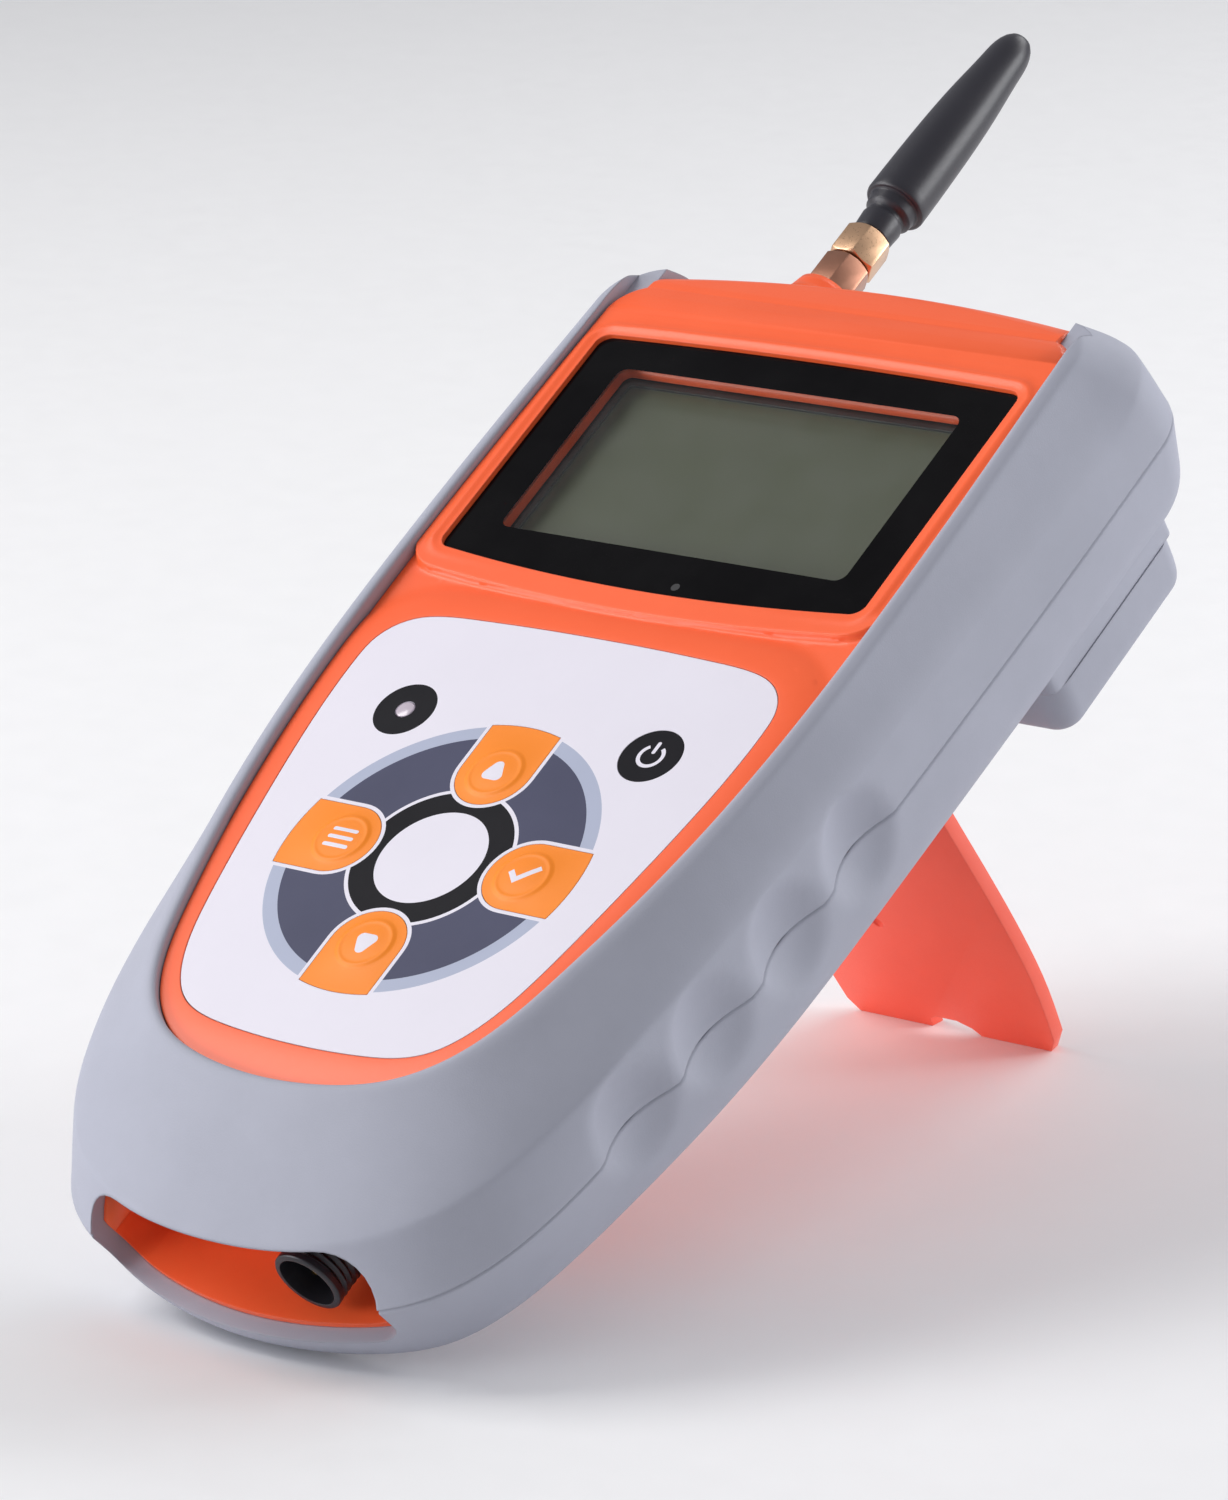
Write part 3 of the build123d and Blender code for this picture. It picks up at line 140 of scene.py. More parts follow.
def distance_to(points, outline):
    """Distance of points from a closed outline."""
    best = np.full(len(points), np.inf)
    for a, b in zip(outline, np.roll(outline, -1, axis=0)):
        run = b - a
        share = np.clip(((points - a) @ run) / (run @ run), 0, 1)
        best = np.minimum(best, np.linalg.norm(points - a - share[:, None] * run, axis=1))
    return best


def eased(values):
    """Smooth step from 0 to 1."""
    values = np.clip(values, 0, 1)
    return values * values * (3 - 2 * values)


def arc(centre, radius, start, end, count):
    """Points along a circle's arc, angles in degrees."""
    turns = np.radians(np.linspace(start, end, count))
    return np.stack([centre[0] + radius * np.cos(turns), centre[1] + radius * np.sin(turns)], 1)


def circle(centre, radius, count=96):
    return arc(centre, radius, 0, 360, count + 1)[:-1]


def inset(edge, amount):
    """Move every point of a right-hand plan edge inwards, square to the edge."""
    edge = np.array(edge, float)
    run = np.gradient(edge, axis=0)
    run[0], run[-1] = (0, -1), (-1, 0)
    run /= np.linalg.norm(run, axis=1)[:, None]
    return edge + amount * np.stack([run[:, 1], -run[:, 0]], 1)


SIDE_POINTS, CORNER_POINTS, TOP_POINTS = 301, 24, 12


def plan(edge, amount, top, corner):
    """Closed plan outline with the same number of points at every size, so that outlines loft together."""
    right = inset(edge, amount)
    side_x = right[0][0]
    right[0] = (side_x, top - corner)
    left = right[::-1][1:] * (-1, 1)
    side = smooth_through(np.vstack([right, left]), SIDE_POINTS)
    left_corner = arc((-side_x + corner, top - corner), corner, 180, 90, CORNER_POINTS + 1)[1:]
    right_corner = arc((side_x - corner, top - corner), corner, 90, 0, CORNER_POINTS + 1)[:-1]
    across = np.linspace(left_corner[-1], right_corner[0], TOP_POINTS + 1)[1:-1]
    return np.vstack([side, left_corner, across, right_corner])


def ring(outline, height):
    """An outline lifted to a height, which may be one number or a function of the points."""
    heights = height(outline) if callable(height) else np.full(len(outline), float(height))
    return np.column_stack([outline, heights])


def between(a, b, share, swell=0.0):
    """The ring a share of the way from a to b, swollen outwards and upwards."""
    out = a + (b - a) * share
    middle = out[:, :2] - np.array([0, 30])
    out[:, :2] += swell * middle / np.linalg.norm(middle, axis=1)[:, None]
    return out


def softened(rings, samples=3):
    """Quadratic B-spline through a stack of control rings, which rounds the creases between them."""
    rings = [rings[0]] + list(rings) + [rings[-1]]
    out = []
    for a, b, c in zip(rings, rings[1:], rings[2:]):
        for t in np.linspace(0, 1, samples, endpoint=False):
            out.append(a * (1 - t) ** 2 / 2 + b * (0.5 + t - t * t) + c * t * t / 2)
    out.append(rings[-1])
    return out


def rounded_polygon(points, radius, steps=6):
    """Closed convex outline of a polygon grown by a radius, corners going anticlockwise."""
    out = []
    n = len(points)
    for i in range(n):
        before, here, after = (np.array(points[k % n], float) for k in (i - 1, i, i + 1))
        first = math.degrees(math.atan2(*(here - before)[::-1])) - 90
        last = math.degrees(math.atan2(*(after - here)[::-1])) - 90
        last = first + (last - first) % 360
        out.append(arc(here, radius, first, last, steps))
    return np.vstack(out)


def rectangle(low, high, radius=0.0):
    """Rounded rectangle, anticlockwise."""
    (x0, y0), (x1, y1) = low, high
    r = max(radius, 1e-3)
    return rounded_polygon([(x0 + r, y0 + r), (x1 - r, y0 + r), (x1 - r, y1 - r), (x0 + r, y1 - r)], r)


# ---------------------------------------------------------------- meshes
def solid(rings, capped=True):
    """Mesh data of a skin over a stack of closed rings."""
    count = len(rings[0])
    verts = np.vstack(rings)
    faces = []
    for k in range(len(rings) - 1):
        for i in range(count):
            j = (i + 1) % count
            faces.append((k * count + i, k * count + j, (k + 1) * count + j, (k + 1) * count + i))
    if capped:
        faces.append(tuple(range(count))[::-1])
        faces.append(tuple(range((len(rings) - 1) * count, len(rings) * count)))
    return verts, faces


def temporary(verts, faces):
    """A mesh object in instrument millimetres, for booleans."""
    mesh = bpy.data.meshes.new("work")
    mesh.from_pydata([tuple(v) for v in verts], [], faces)
    bm = bmesh.new()
    bm.from_mesh(mesh)
    bmesh.ops.recalc_face_normals(bm, faces=bm.faces)
    bm.to_mesh(mesh)
    bm.free()
    thing = bpy.data.objects.new("work", mesh)
    bpy.context.scene.collection.objects.link(thing)
    return thing


def cad_copy(node):
    """A CAD node's mesh as one closed skin, in instrument millimetres."""
    mesh = frame["nodes"][node].data.copy()
    mesh.transform(TO_DEVICE)
    bm = bmesh.new()
    bm.from_mesh(mesh)
    bmesh.ops.remove_doubles(bm, verts=bm.verts, dist=1e-3)
    bm.to_mesh(mesh)
    bm.free()
    mesh.materials.clear()
    thing = bpy.data.objects.new("work", mesh)
    bpy.context.scene.collection.objects.link(thing)
    return thing


def combine(base, others, operation="DIFFERENCE"):
    """Boolean a list of temporary objects into the base, one after another."""
    for other in others:
        tool = base.modifiers.new("cut", "BOOLEAN")
        tool.operation = operation
        tool.solver = "EXACT"
        tool.object = other
        bpy.context.view_layer.update()
        done = bpy.data.meshes.new_from_object(base.evaluated_get(bpy.context.evaluated_depsgraph_get()))
        base.modifiers.clear()
        base.data = done
        bpy.data.objects.remove(other)
    return base


def rounded(thing, width, segments=2, angle=32):
    """Round a temporary object's sharp edges."""
    tool = thing.modifiers.new("round", "BEVEL")
    tool.width, tool.segments, tool.angle_limit = width, segments, math.radians(angle)
    tool.limit_method = "ANGLE"
    tool.use_clamp_overlap = True
    bpy.context.view_layer.update()
    done = bpy.data.meshes.new_from_object(thing.evaluated_get(bpy.context.evaluated_depsgraph_get()))
    thing.modifiers.clear()
    thing.data = done
    return thing


def joined(things):
    """Several temporary objects as one, their meshes side by side."""
    bm = bmesh.new()
    for thing in things:
        bm.from_mesh(thing.data)
    bm.to_mesh(things[0].data)
    bm.free()
    for thing in things[1:]:
        bpy.data.objects.remove(thing)
    return things[0]


def place(thing, name, body, materials, nodes=(), sharp=35):
    """Turn a temporary object into a finished piece that rides on a body and stands for CAD nodes."""
    mesh = thing.data
    mesh.transform(TO_ROW)
    mesh.name = name
    thing.name = name
    for material in materials:
        mesh.materials.append(material)
    mesh.polygons.foreach_set("use_smooth", [True] * len(mesh.polygons))
    mesh.set_sharp_from_angle(angle=math.radians(sharp))
    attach(thing, body)
    if nodes:
        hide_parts(*nodes)
    return thing


def box(low, high):
    outline = np.array([(low[0], low[1]), (high[0], low[1]), (high[0], high[1]), (low[0], high[1])], float)
    return temporary(*solid([ring(outline, low[2]), ring(outline, high[2])]))


def prism(outline, low, high):
    """Upright prism over a plan outline."""
    return temporary(*solid([ring(outline, low), ring(outline, high)]))


def along_y(outline, start, end):
    """Prism along Y over an outline given as (x, z)."""
    rings = [np.column_stack([outline[:, 0], np.full(len(outline), y), outline[:, 1]]) for y in (start, end)]
    return temporary(*solid(rings))


def turned(profile, centre, count=96, wobble=None):
    """Solid turned about an axis along Y through centre (x, z); the profile is (radius, y) from end to end."""
    turns = np.linspace(0, 2 * math.pi, count, endpoint=False)
    rings = []
    for radius, y in profile:
        radii = np.full(count, max(radius, 1e-3)) + (wobble(turns, y) if wobble else 0)
        rings.append(np.column_stack([centre[0] + radii * np.cos(turns), np.full(count, y),
                                      centre[1] + radii * np.sin(turns)]))
    return temporary(*solid(rings))


def turned_x(profile, centre, count=40):
    """Solid turned about an axis along X through centre (y, z); the profile is (radius, x)."""
    turns = np.linspace(0, 2 * math.pi, count, endpoint=False)
    rings = [np.column_stack([np.full(count, x), centre[0] + radius * np.cos(turns),
                              centre[1] + radius * np.sin(turns)]) for radius, x in profile]
    return temporary(*solid(rings))


def inside(points, outline):
    """Which points lie inside a closed outline."""
    hit = np.zeros(len(points), bool)
    x, y = points[:, 0], points[:, 1]
    for (x0, y0), (x1, y1) in zip(outline, np.roll(outline, -1, axis=0)):
        if y0 == y1:
            continue
        crosses = (y0 > y) != (y1 > y)
        hit ^= crosses & (x < (x1 - x0) * (y - y0) / (y1 - y0) + x0)
    return hit


def printed_sheet(outline, holes, prints, top, bottom, height=None, guides=(), spread=()):
    """Flat sheet whose top is divided exactly along its printed shapes; prints are (outline, material index)."""
    loops = [outline, *holes, *(shape for shape, _ in prints), *guides]
    points, edges = [], []
    for loop in loops:
        start = len(points)
        points += [Vector(p) for p in loop]
        edges += [(start + i, start + (i + 1) % len(loop)) for i in range(len(loop))]
    points += [Vector(p) for p in spread]
    verts, _, faces, *_ = geometry.delaunay_2d_cdt(points, edges, [], 0, 1e-4, False)
    flat = np.array([(v.x, v.y) for v in verts])
    faces = np.array([f for f in faces if len(f) == 3])
    middles = flat[faces].mean(axis=1)
    keep = inside(middles, outline)
    for hole in holes:
        keep &= ~inside(middles, hole)
    faces, middles = faces[keep], middles[keep]
    colours = np.zeros(len(faces), int)
    for shape, index in prints:
        colours[inside(middles, shape)] = index
    lifted = np.full(len(flat), float(top))
    if height:
        lifted += height(flat)
    bm = bmesh.new()
    upper = [bm.verts.new((x, y, z)) for (x, y), z in zip(flat, lifted)]
    for corners, colour in zip(faces, colours):
        face = bm.faces.new([upper[i] for i in corners])
        face.material_index = int(colour)
    bmesh.ops.delete(bm, geom=[v for v in bm.verts if not v.link_faces], context="VERTS")
    rim = [e for e in bm.edges if e.is_boundary]
    lower = bmesh.ops.extrude_edge_only(bm, edges=rim)["geom"]
    for item in lower:
        if isinstance(item, bmesh.types.BMVert):
            item.co.z = bottom
        elif isinstance(item, bmesh.types.BMFace):
            item.material_index = 0
    floor_edges = [e for e in lower if isinstance(e, bmesh.types.BMEdge) and e.is_boundary
                   and all(abs(v.co.z - bottom) < 1e-6 for v in e.verts)]
    copies = {}
    for face in [f for f in bm.faces if all(abs(v.co.z - bottom) > 1e-6 for v in f.verts)]:
        corners = []
        for v in reversed(face.verts):
            key = (round(v.co.x, 5), round(v.co.y, 5))
            if key not in copies:
                copies[key] = bm.verts.new((v.co.x, v.co.y, bottom))
            corners.append(copies[key])
        try:
            bm.faces.new(corners)
        except ValueError:
            pass
    del floor_edges
    bmesh.ops.remove_doubles(bm, verts=bm.verts, dist=1e-5)
    bmesh.ops.recalc_face_normals(bm, faces=bm.faces)
    mesh = bpy.data.meshes.new("work")
    bm.to_mesh(mesh)
    bm.free()
    thing = bpy.data.objects.new("work", mesh)
    bpy.context.scene.collection.objects.link(thing)
    return thing


# ---------------------------------------------------------------- materials
def srgb(*levels):
    """Linear colour from 8-bit levels."""
    return tuple(((v / 255 + 0.055) / 1.055) ** 2.4 if v > 10 else v / 255 / 12.92 for v in levels)


def node(tree, kind, **inputs):
    made = tree.nodes.new(kind)
    for key, value in inputs.items():
        made.inputs[key.replace("_", " ")].default_value = value
    return made


def surface(name, colour, roughness=0.45, grain=0.35, grain_depth=0.02, mottling=0.05, metal=0.0, coat=0.0,
            edge=0.25, edge_rub_and_highlight=0.12, specular=0.5, scratches=0.0):
    """Procedural finish: fine grain, slow colour and gloss changes, softened edges painted lighter, partly as rubbing
    and partly as a painted highlight. Sizes in mm.
    """
    material = bpy.data.materials.new(name)
    material.use_nodes = True
    tree = material.node_tree
    tree.nodes.clear()
    link = tree.links.new
    out = tree.nodes.new("ShaderNodeOutputMaterial")
    shader = node(tree, "ShaderNodeBsdfPrincipled", Metallic=metal, Coat_Weight=coat, Coat_Roughness=0.12)
    shader.inputs["Specular IOR Level"].default_value = specular
    link(shader.outputs[0], out.inputs[0])
    where = tree.nodes.new("ShaderNodeTexCoord")

    slow = node(tree, "ShaderNodeTexNoise", Scale=1 / (22 * MM), Detail=4.0, Roughness=0.6)
    fine = node(tree, "ShaderNodeTexNoise", Scale=1 / (grain * MM), Detail=3.0, Roughness=0.55)
    for texture in (slow, fine):
        link(where.outputs["Object"], texture.inputs["Vector"])

    soft_edge = node(tree, "ShaderNodeBevel", Radius=edge * MM)
    soft_edge.samples = 4
    normal = tree.nodes.new("ShaderNodeNewGeometry")
    facing = tree.nodes.new("ShaderNodeVectorMath")
    facing.operation = "DOT_PRODUCT"
    link(soft_edge.outputs[0], facing.inputs[0])
    link(normal.outputs["Normal"], facing.inputs[1])
    # Rounded edges are painted lighter: partly rubbing of the edges, partly a painted highlight along them.
    rubbed_or_lit_edge = node(tree, "ShaderNodeMapRange", From_Min=0.995, From_Max=0.82, To_Min=0.0, To_Max=edge_rub_and_highlight)
    link(facing.outputs["Value"], rubbed_or_lit_edge.inputs["Value"])

    light = tuple(min(1.0, c * (1 + mottling) + 0.004) for c in colour)
    dark = tuple(c * (1 - mottling) for c in colour)
    shade = node(tree, "ShaderNodeMix")
    shade.data_type = "RGBA"
    shade.inputs["A"].default_value = (*dark, 1)
    shade.inputs["B"].default_value = (*light, 1)
    spread = node(tree, "ShaderNodeMapRange", From_Min=0.3, From_Max=0.7)
    link(slow.outputs["Fac"], spread.inputs["Value"])
    link(spread.outputs[0], shade.inputs["Factor"])
    edged = node(tree, "ShaderNodeMix")
    edged.data_type = "RGBA"
    edged.inputs["B"].default_value = (*(min(1.0, c * 0.75 + 0.25) for c in colour), 1)
    link(rubbed_or_lit_edge.outputs[0], edged.inputs["Factor"])
    link(shade.outputs["Result"], edged.inputs["A"])
    link(edged.outputs["Result"], shader.inputs["Base Color"])

    gloss = node(tree, "ShaderNodeMapRange", From_Min=0.3, From_Max=0.7, To_Min=roughness * 0.88,
                 To_Max=min(1.0, roughness * 1.12))
    link(fine.outputs["Fac"], gloss.inputs["Value"])
    link(gloss.outputs[0], shader.inputs["Roughness"])

    bump = node(tree, "ShaderNodeBump", Strength=1.0, Distance=grain_depth * MM)
    link(fine.outputs["Fac"], bump.inputs["Height"])
    link(soft_edge.outputs[0], bump.inputs["Normal"])
    last = bump
    if scratches:
        lines = node(tree, "ShaderNodeTexNoise", Scale=1 / (1.1 * MM), Detail=2.0)
        stretch = tree.nodes.new("ShaderNodeMapping")
        stretch.inputs["Scale"].default_value = (1.0, 0.05, 1.0)
        link(where.outputs["Object"], stretch.inputs["Vector"])
        link(stretch.outputs[0], lines.inputs["Vector"])
        last = node(tree, "ShaderNodeBump", Strength=1.0, Distance=scratches * MM)
        link(lines.outputs["Fac"], last.inputs["Height"])
        link(bump.outputs[0], last.inputs["Normal"])
    link(last.outputs[0], shader.inputs["Normal"])
    return material


def clear_pane(name):
    """Thin clear plate: lets light straight through and mirrors a little."""
    material = bpy.data.materials.new(name)
    material.use_nodes = True
    tree = material.node_tree
    tree.nodes.clear()
    link = tree.links.new
    out = tree.nodes.new("ShaderNodeOutputMaterial")
    through = node(tree, "ShaderNodeBsdfTransparent", Color=(0.93, 0.94, 0.93, 1))
    mirror = node(tree, "ShaderNodeBsdfGlossy", Roughness=0.04)
    where = tree.nodes.new("ShaderNodeTexCoord")
    smear = node(tree, "ShaderNodeTexNoise", Scale=1 / (9 * MM), Detail=3.0)
    link(where.outputs["Object"], smear.inputs["Vector"])
    haze = node(tree, "ShaderNodeMapRange", From_Min=0.3, From_Max=0.7, To_Min=0.03, To_Max=0.10)
    link(smear.outputs["Fac"], haze.inputs["Value"])
    link(haze.outputs[0], mirror.inputs["Roughness"])
    mix = tree.nodes.new("ShaderNodeMixShader")
    glare = node(tree, "ShaderNodeMapRange", From_Min=0.3, From_Max=0.7, To_Min=0.035, To_Max=0.065)
    link(smear.outputs["Fac"], glare.inputs["Value"])
    link(glare.outputs[0], mix.inputs[0])
    link(through.outputs[0], mix.inputs[1])
    link(mirror.outputs[0], mix.inputs[2])
    link(mix.outputs[0], out.inputs[0])
    return material


ORANGE = surface("case_orange", srgb(255, 102, 54), 0.34, 0.30, 0.010, 0.03, edge=0.35, edge_rub_and_highlight=0.10, specular=0.35)
STAND_ORANGE = surface("stand_orange", srgb(255, 100, 76), 0.42, 0.35, 0.012, 0.04, edge=0.3, edge_rub_and_highlight=0.15)
# Darker, redder copy of the case orange for the panel in the connector pocket: painted shade of the pocket.
POCKET_ORANGE_PAINTED_SHADE = surface("panel_orange", srgb(212, 52, 20), 0.45, 0.35, 0.012, 0.05)
RUBBER = surface("boot_rubber", srgb(166, 168, 181), 0.62, 0.28, 0.022, 0.035, edge=0.5, edge_rub_and_highlight=0.12, specular=0.35)
DOOR_RUBBER = surface("door_grey", srgb(164, 166, 179), 0.60, 0.28, 0.022, 0.04, edge=0.5, edge_rub_and_highlight=0.12, specular=0.35)
LENS_BLACK = surface("lens_black", srgb(7, 6, 8), 0.13, 2.0, 0.002, 0.03, edge=0.05, edge_rub_and_highlight=0.05, specular=0.06)
LENS_CLEAR = clear_pane("lens_clear")
OVERLAY_WHITE = surface("overlay_white", srgb(226, 222, 233), 0.46, 0.22, 0.006, 0.012, edge=0.15, edge_rub_and_highlight=0.0)
PRINT_SLATE = surface("print_slate", srgb(66, 68, 94), 0.44, 0.22, 0.006, 0.05, edge=0.15, edge_rub_and_highlight=0.0, specular=0.25)
PRINT_LIGHT = surface("print_light", srgb(168, 175, 198), 0.44, 0.22, 0.006, 0.02, edge=0.15, edge_rub_and_highlight=0.0)
PRINT_BLACK = surface("print_black", srgb(15, 14, 21), 0.40, 0.22, 0.006, 0.03, edge=0.15, edge_rub_and_highlight=0.0, specular=0.1)
KEY_ORANGE = surface("key_orange", srgb(250, 138, 28), 0.42, 0.22, 0.006, 0.03, edge=0.2, edge_rub_and_highlight=0.04, specular=0.3)
BRASS = surface("jack_brass", srgb(214, 174, 140), 0.30, 0.5, 0.002, 0.05, metal=1.0, edge=0.15, edge_rub_and_highlight=0.2, scratches=0.002)
DULL_BRASS = surface("nut_brass", srgb(176, 126, 104), 0.34, 0.5, 0.006, 0.10, metal=1.0, edge=0.15, edge_rub_and_highlight=0.3,
                     scratches=0.008)
WHIP = surface("whip_black", srgb(36, 35, 44), 0.38, 0.25, 0.010, 0.05, edge=0.25, edge_rub_and_highlight=0.06)
CONNECTOR = surface("connector_black", srgb(34, 32, 38), 0.36, 0.4, 0.006, 0.08, metal=0.3, edge=0.15, edge_rub_and_highlight=0.25)

SLOT_FINISH = {
    "case_orange": ORANGE, "panel_orange": POCKET_ORANGE_PAINTED_SHADE, "boot_rubber": RUBBER, "door_grey": DOOR_RUBBER,
    "lens_black": LENS_BLACK, "overlay_white": OVERLAY_WHITE, "key_orange": KEY_ORANGE, "key_black": PRINT_BLACK,
    "jack_brass": BRASS, "nut_brass": DULL_BRASS, "whip_black": WHIP, "connector_black": CONNECTOR,
    "stand_orange": STAND_ORANGE,
    "seal_rubber": surface("seal_rubber", srgb(24, 24, 25), 0.6, 0.3, 0.02, 0.05),
    "tape_black": surface("tape_black", srgb(22, 22, 23), 0.85, 0.3, 0.03, 0.06),
    "bezel_steel": surface("bezel_steel", srgb(24, 24, 26), 0.45, 0.4, 0.008, 0.05),
    "lcd_face": surface("lcd_face", srgb(84, 88, 68), 0.32, 0.33, 0.001, 0.03, coat=0.3),
    "backlight_white": surface("backlight_white", srgb(232, 236, 228), 0.4, 0.6, 0.004, 0.02),
    "board_green": surface("board_green", srgb(24, 98, 54), 0.38, 1.3, 0.03, 0.10, coat=0.4),
    "screw_steel": surface("screw_steel", srgb(176, 176, 178), 0.32, 0.3, 0.004, 0.06, metal=1.0, scratches=0.004),
    "chip_black": surface("chip_black", srgb(34, 34, 37), 0.55, 0.25, 0.012, 0.05),
    "spacer_film": surface("spacer_film", srgb(222, 224, 226), 0.3, 0.5, 0.002, 0.02),
    "circuit_film": surface("circuit_film", srgb(208, 146, 62), 0.32, 1.6, 0.01, 0.14),
    "dome_steel": surface("dome_steel", srgb(196, 196, 200), 0.22, 0.4, 0.003, 0.04, metal=1.0),
    "pipe_clear": surface("pipe_clear", srgb(190, 178, 190), 0.18, 0.8, 0.002, 0.05, coat=0.6),
    "led_white": surface("led_white", srgb(236, 236, 228), 0.4, 0.4, 0.004, 0.02),
    "socket_ivory": surface("socket_ivory", srgb(226, 218, 196), 0.5, 0.4, 0.008, 0.03),
    "shield_tin": surface("shield_tin", srgb(196, 196, 200), 0.34, 0.8, 0.006, 0.06, metal=1.0, scratches=0.004),
    "ptfe_white": surface("ptfe_white", srgb(238, 238, 234), 0.5, 0.4, 0.006, 0.02),
    "cable_brown": surface("cable_brown", srgb(120, 78, 48), 0.42, 0.4, 0.008, 0.08),
    "insert_black": surface("insert_black", srgb(30, 28, 33), 0.55, 0.3, 0.010, 0.06),
    "pin_gold": surface("pin_gold", srgb(232, 190, 108), 0.22, 0.3, 0.003, 0.05, metal=1.0),
    "nut_nickel": surface("nut_nickel", srgb(200, 200, 202), 0.24, 0.4, 0.004, 0.05, metal=1.0),
    "lead_black": surface("lead_black", srgb(28, 28, 30), 0.55, 0.4, 0.012, 0.06),
    "lead_red": surface("lead_red", srgb(186, 36, 28), 0.48, 0.4, 0.010, 0.06),
    "cell_jacket": surface("cell_jacket", srgb(44, 62, 108), 0.34, 1.2, 0.004, 0.10, coat=0.4),
    "contact_nickel": surface("contact_nickel", srgb(196, 194, 188), 0.28, 0.4, 0.004, 0.06, metal=1.0),
    "pin_steel": surface("pin_steel", srgb(186, 186, 189), 0.25, 0.3, 0.003, 0.05, metal=1.0, scratches=0.004),
}
for entry in frame["record"]["subparts"]:
    cad = frame["nodes"][entry["node"]]
    cad.data.materials.clear()
    cad.data.materials.append(SLOT_FINISH[entry["material_slot"]])


# ---------------------------------------------------------------- rubber boot
def ridge_height(outline):
    """The shoulder's crease runs lower towards the antenna end and rises again round its corners."""
    y = outline[:, 1]
    return np.minimum(-9.2 - 0.0275 * y, -10.0 + 0.03 * (y + 72.2)) + 4.0 * eased((y - 117) / 20)


def dimpled(rings, centres=(-27.0, -8.0, 12.7, 33.0), depth=2.9):
    """Press the finger dimples into the sides of a stack of rings."""
    out = []
    for points in rings:
        points = points.copy()
        for centre in centres:
            share = ((points[:, 1] - centre) / 8.8) ** 2 + ((points[:, 2] + 18.5) / 9.5) ** 2
            push = depth * np.clip(1 - share, 0, None) ** 1.05 * (np.abs(points[:, 0]) > 30)
            points[:, 0] -= push * np.sign(points[:, 0])
        out.append(points)
    return out


def make_boot():
    lip = ring(plan(FACE_EDGE, -2.9, 134.0, 10.5), 0.55)
    ridge = ring(plan(RIDGE_EDGE, 0.0, 139.2, 12.0), ridge_height)
    mould = ring(plan(BODY_EDGE, 0.0, 140.0, 12.5), MOULD_Z)
    rear = ring(plan(REAR_EDGE, 0.0, 137.5, 12.0), -30.0)
    control = [
        ring(plan(FACE_EDGE, 0.0, 129.0, 8.0), -1.5),
        ring(plan(FACE_EDGE, 0.0, 129.0, 8.0), 0.5),
        ring(plan(FACE_EDGE, -0.3, 129.4, 8.3), 1.2),
        ring(plan(FACE_EDGE, -1.2, 131.2, 9.4), 1.35),
        ring(plan(FACE_EDGE, -2.1, 132.8, 10.0), 1.0),
        lip,
        between(lip, ridge, 0.12), between(lip, ridge, 0.35, 0.15), between(lip, ridge, 0.7, 0.5),
        between(lip, ridge, 0.93, 0.25), ridge, between(ridge, mould, 0.14, 0.05),
        between(ridge, mould, 0.5, 0.1), between(ridge, mould, 0.92),
        ring(plan(BODY_EDGE, 0.0, 140.0, 12.5), MOULD_Z + 0.25),
        ring(plan(BODY_EDGE, 0.55, 139.5, 12.5), MOULD_Z),
        ring(plan(BODY_EDGE, 0.0, 140.0, 12.5), MOULD_Z - 0.25),
        between(mould, rear, 0.12), between(mould, rear, 0.7), rear,
        ring(plan(REAR_EDGE, 1.0, 136.6, 11.6), -32.6),
        ring(plan(REAR_EDGE, 3.0, 134.9, 11.0), -35.2),
        ring(plan(REAR_EDGE, 5.6, 132.6, 10.0), -36.8),
        ring(plan(REAR_EDGE, 8.5, 130.0, 9.0), BOOT_BACK_Z),
        ring(plan(REAR_EDGE, 12.0, 126.5, 8.0), BOOT_BACK_Z),
    ]
    boot = temporary(*solid(dimpled(softened(control, 3))))
    collar = prism(rectangle((-55.2, 85.0), (55.2, 125.0), 2.0), BOOT_BACK_Z + 0.05, -30.0)
    combine(boot, [collar], "UNION")
    hug = BOOT_THICKNESS
    cavity = temporary(*solid([
        ring(plan(FACE_EDGE, 0.0, 129.5, 8.0), -1.0),
        ring(plan(RIDGE_EDGE, hug, 136.2, 9.0), -10.8),
        ring(plan(BODY_EDGE, hug, 136.8, 10.0), MOULD_Z),
        ring(plan(REAR_EDGE, hug, 134.4, 9.5), -30.0),
        ring(plan(REAR_EDGE, hug + 1.0, 133.2, 9.0), -34.0),
    ]))
    opening = prism(plan(FACE_EDGE, -0.12, 150.0, 0.5), -1.6, 8.0)
    end_gap = box((-43.1, 110, -29.0), (43.1, 160, 8.1))
    slot = along_y(pocket_outline(0.0), -90, -50)
    door_gap = box((-54.2, 86.0, -60), (54.2, 124.0, -33.0))
    ear_gap = box((-26.0, 123.0, -60), (26.0, 126.7, -33.1))
    window = prism(rectangle((-27.5, -20.0), (27.5, 90.0), 6.0), -60.1, -33.5)
    ground = ground_block()
    combine(boot, [opening, cavity, end_gap, slot, door_gap, ear_gap, window, ground])
    place(boot, "rubber_boot_skin", "instrument", [RUBBER], ["rubber_boot"], sharp=40)


def pocket_outline(shrink):
    """Mouth of the connector pocket as (x, z): wide top corners, tight lower corners."""
    half, top, bottom = 30.0 - shrink, -10.6 - shrink, -28.6 + shrink
    lower, upper = 4.0, 9.5
    return np.vstack([
        arc((half - lower, bottom + lower), lower, 270, 360, 7),
        arc((half - upper, top - upper), upper, 0, 90, 9),
        arc((-half + upper, top - upper), upper, 90, 180, 9),
        arc((-half + lower, bottom + lower), lower, 180, 270, 7),
    ])


def ground_block():
    """Everything below the surface the instrument stands on."""
    block = box((-90, -220, -40), (90, 220, 0))
    block.data.transform(TO_DEVICE @ Matrix.Scale(MM, 4))
    return block


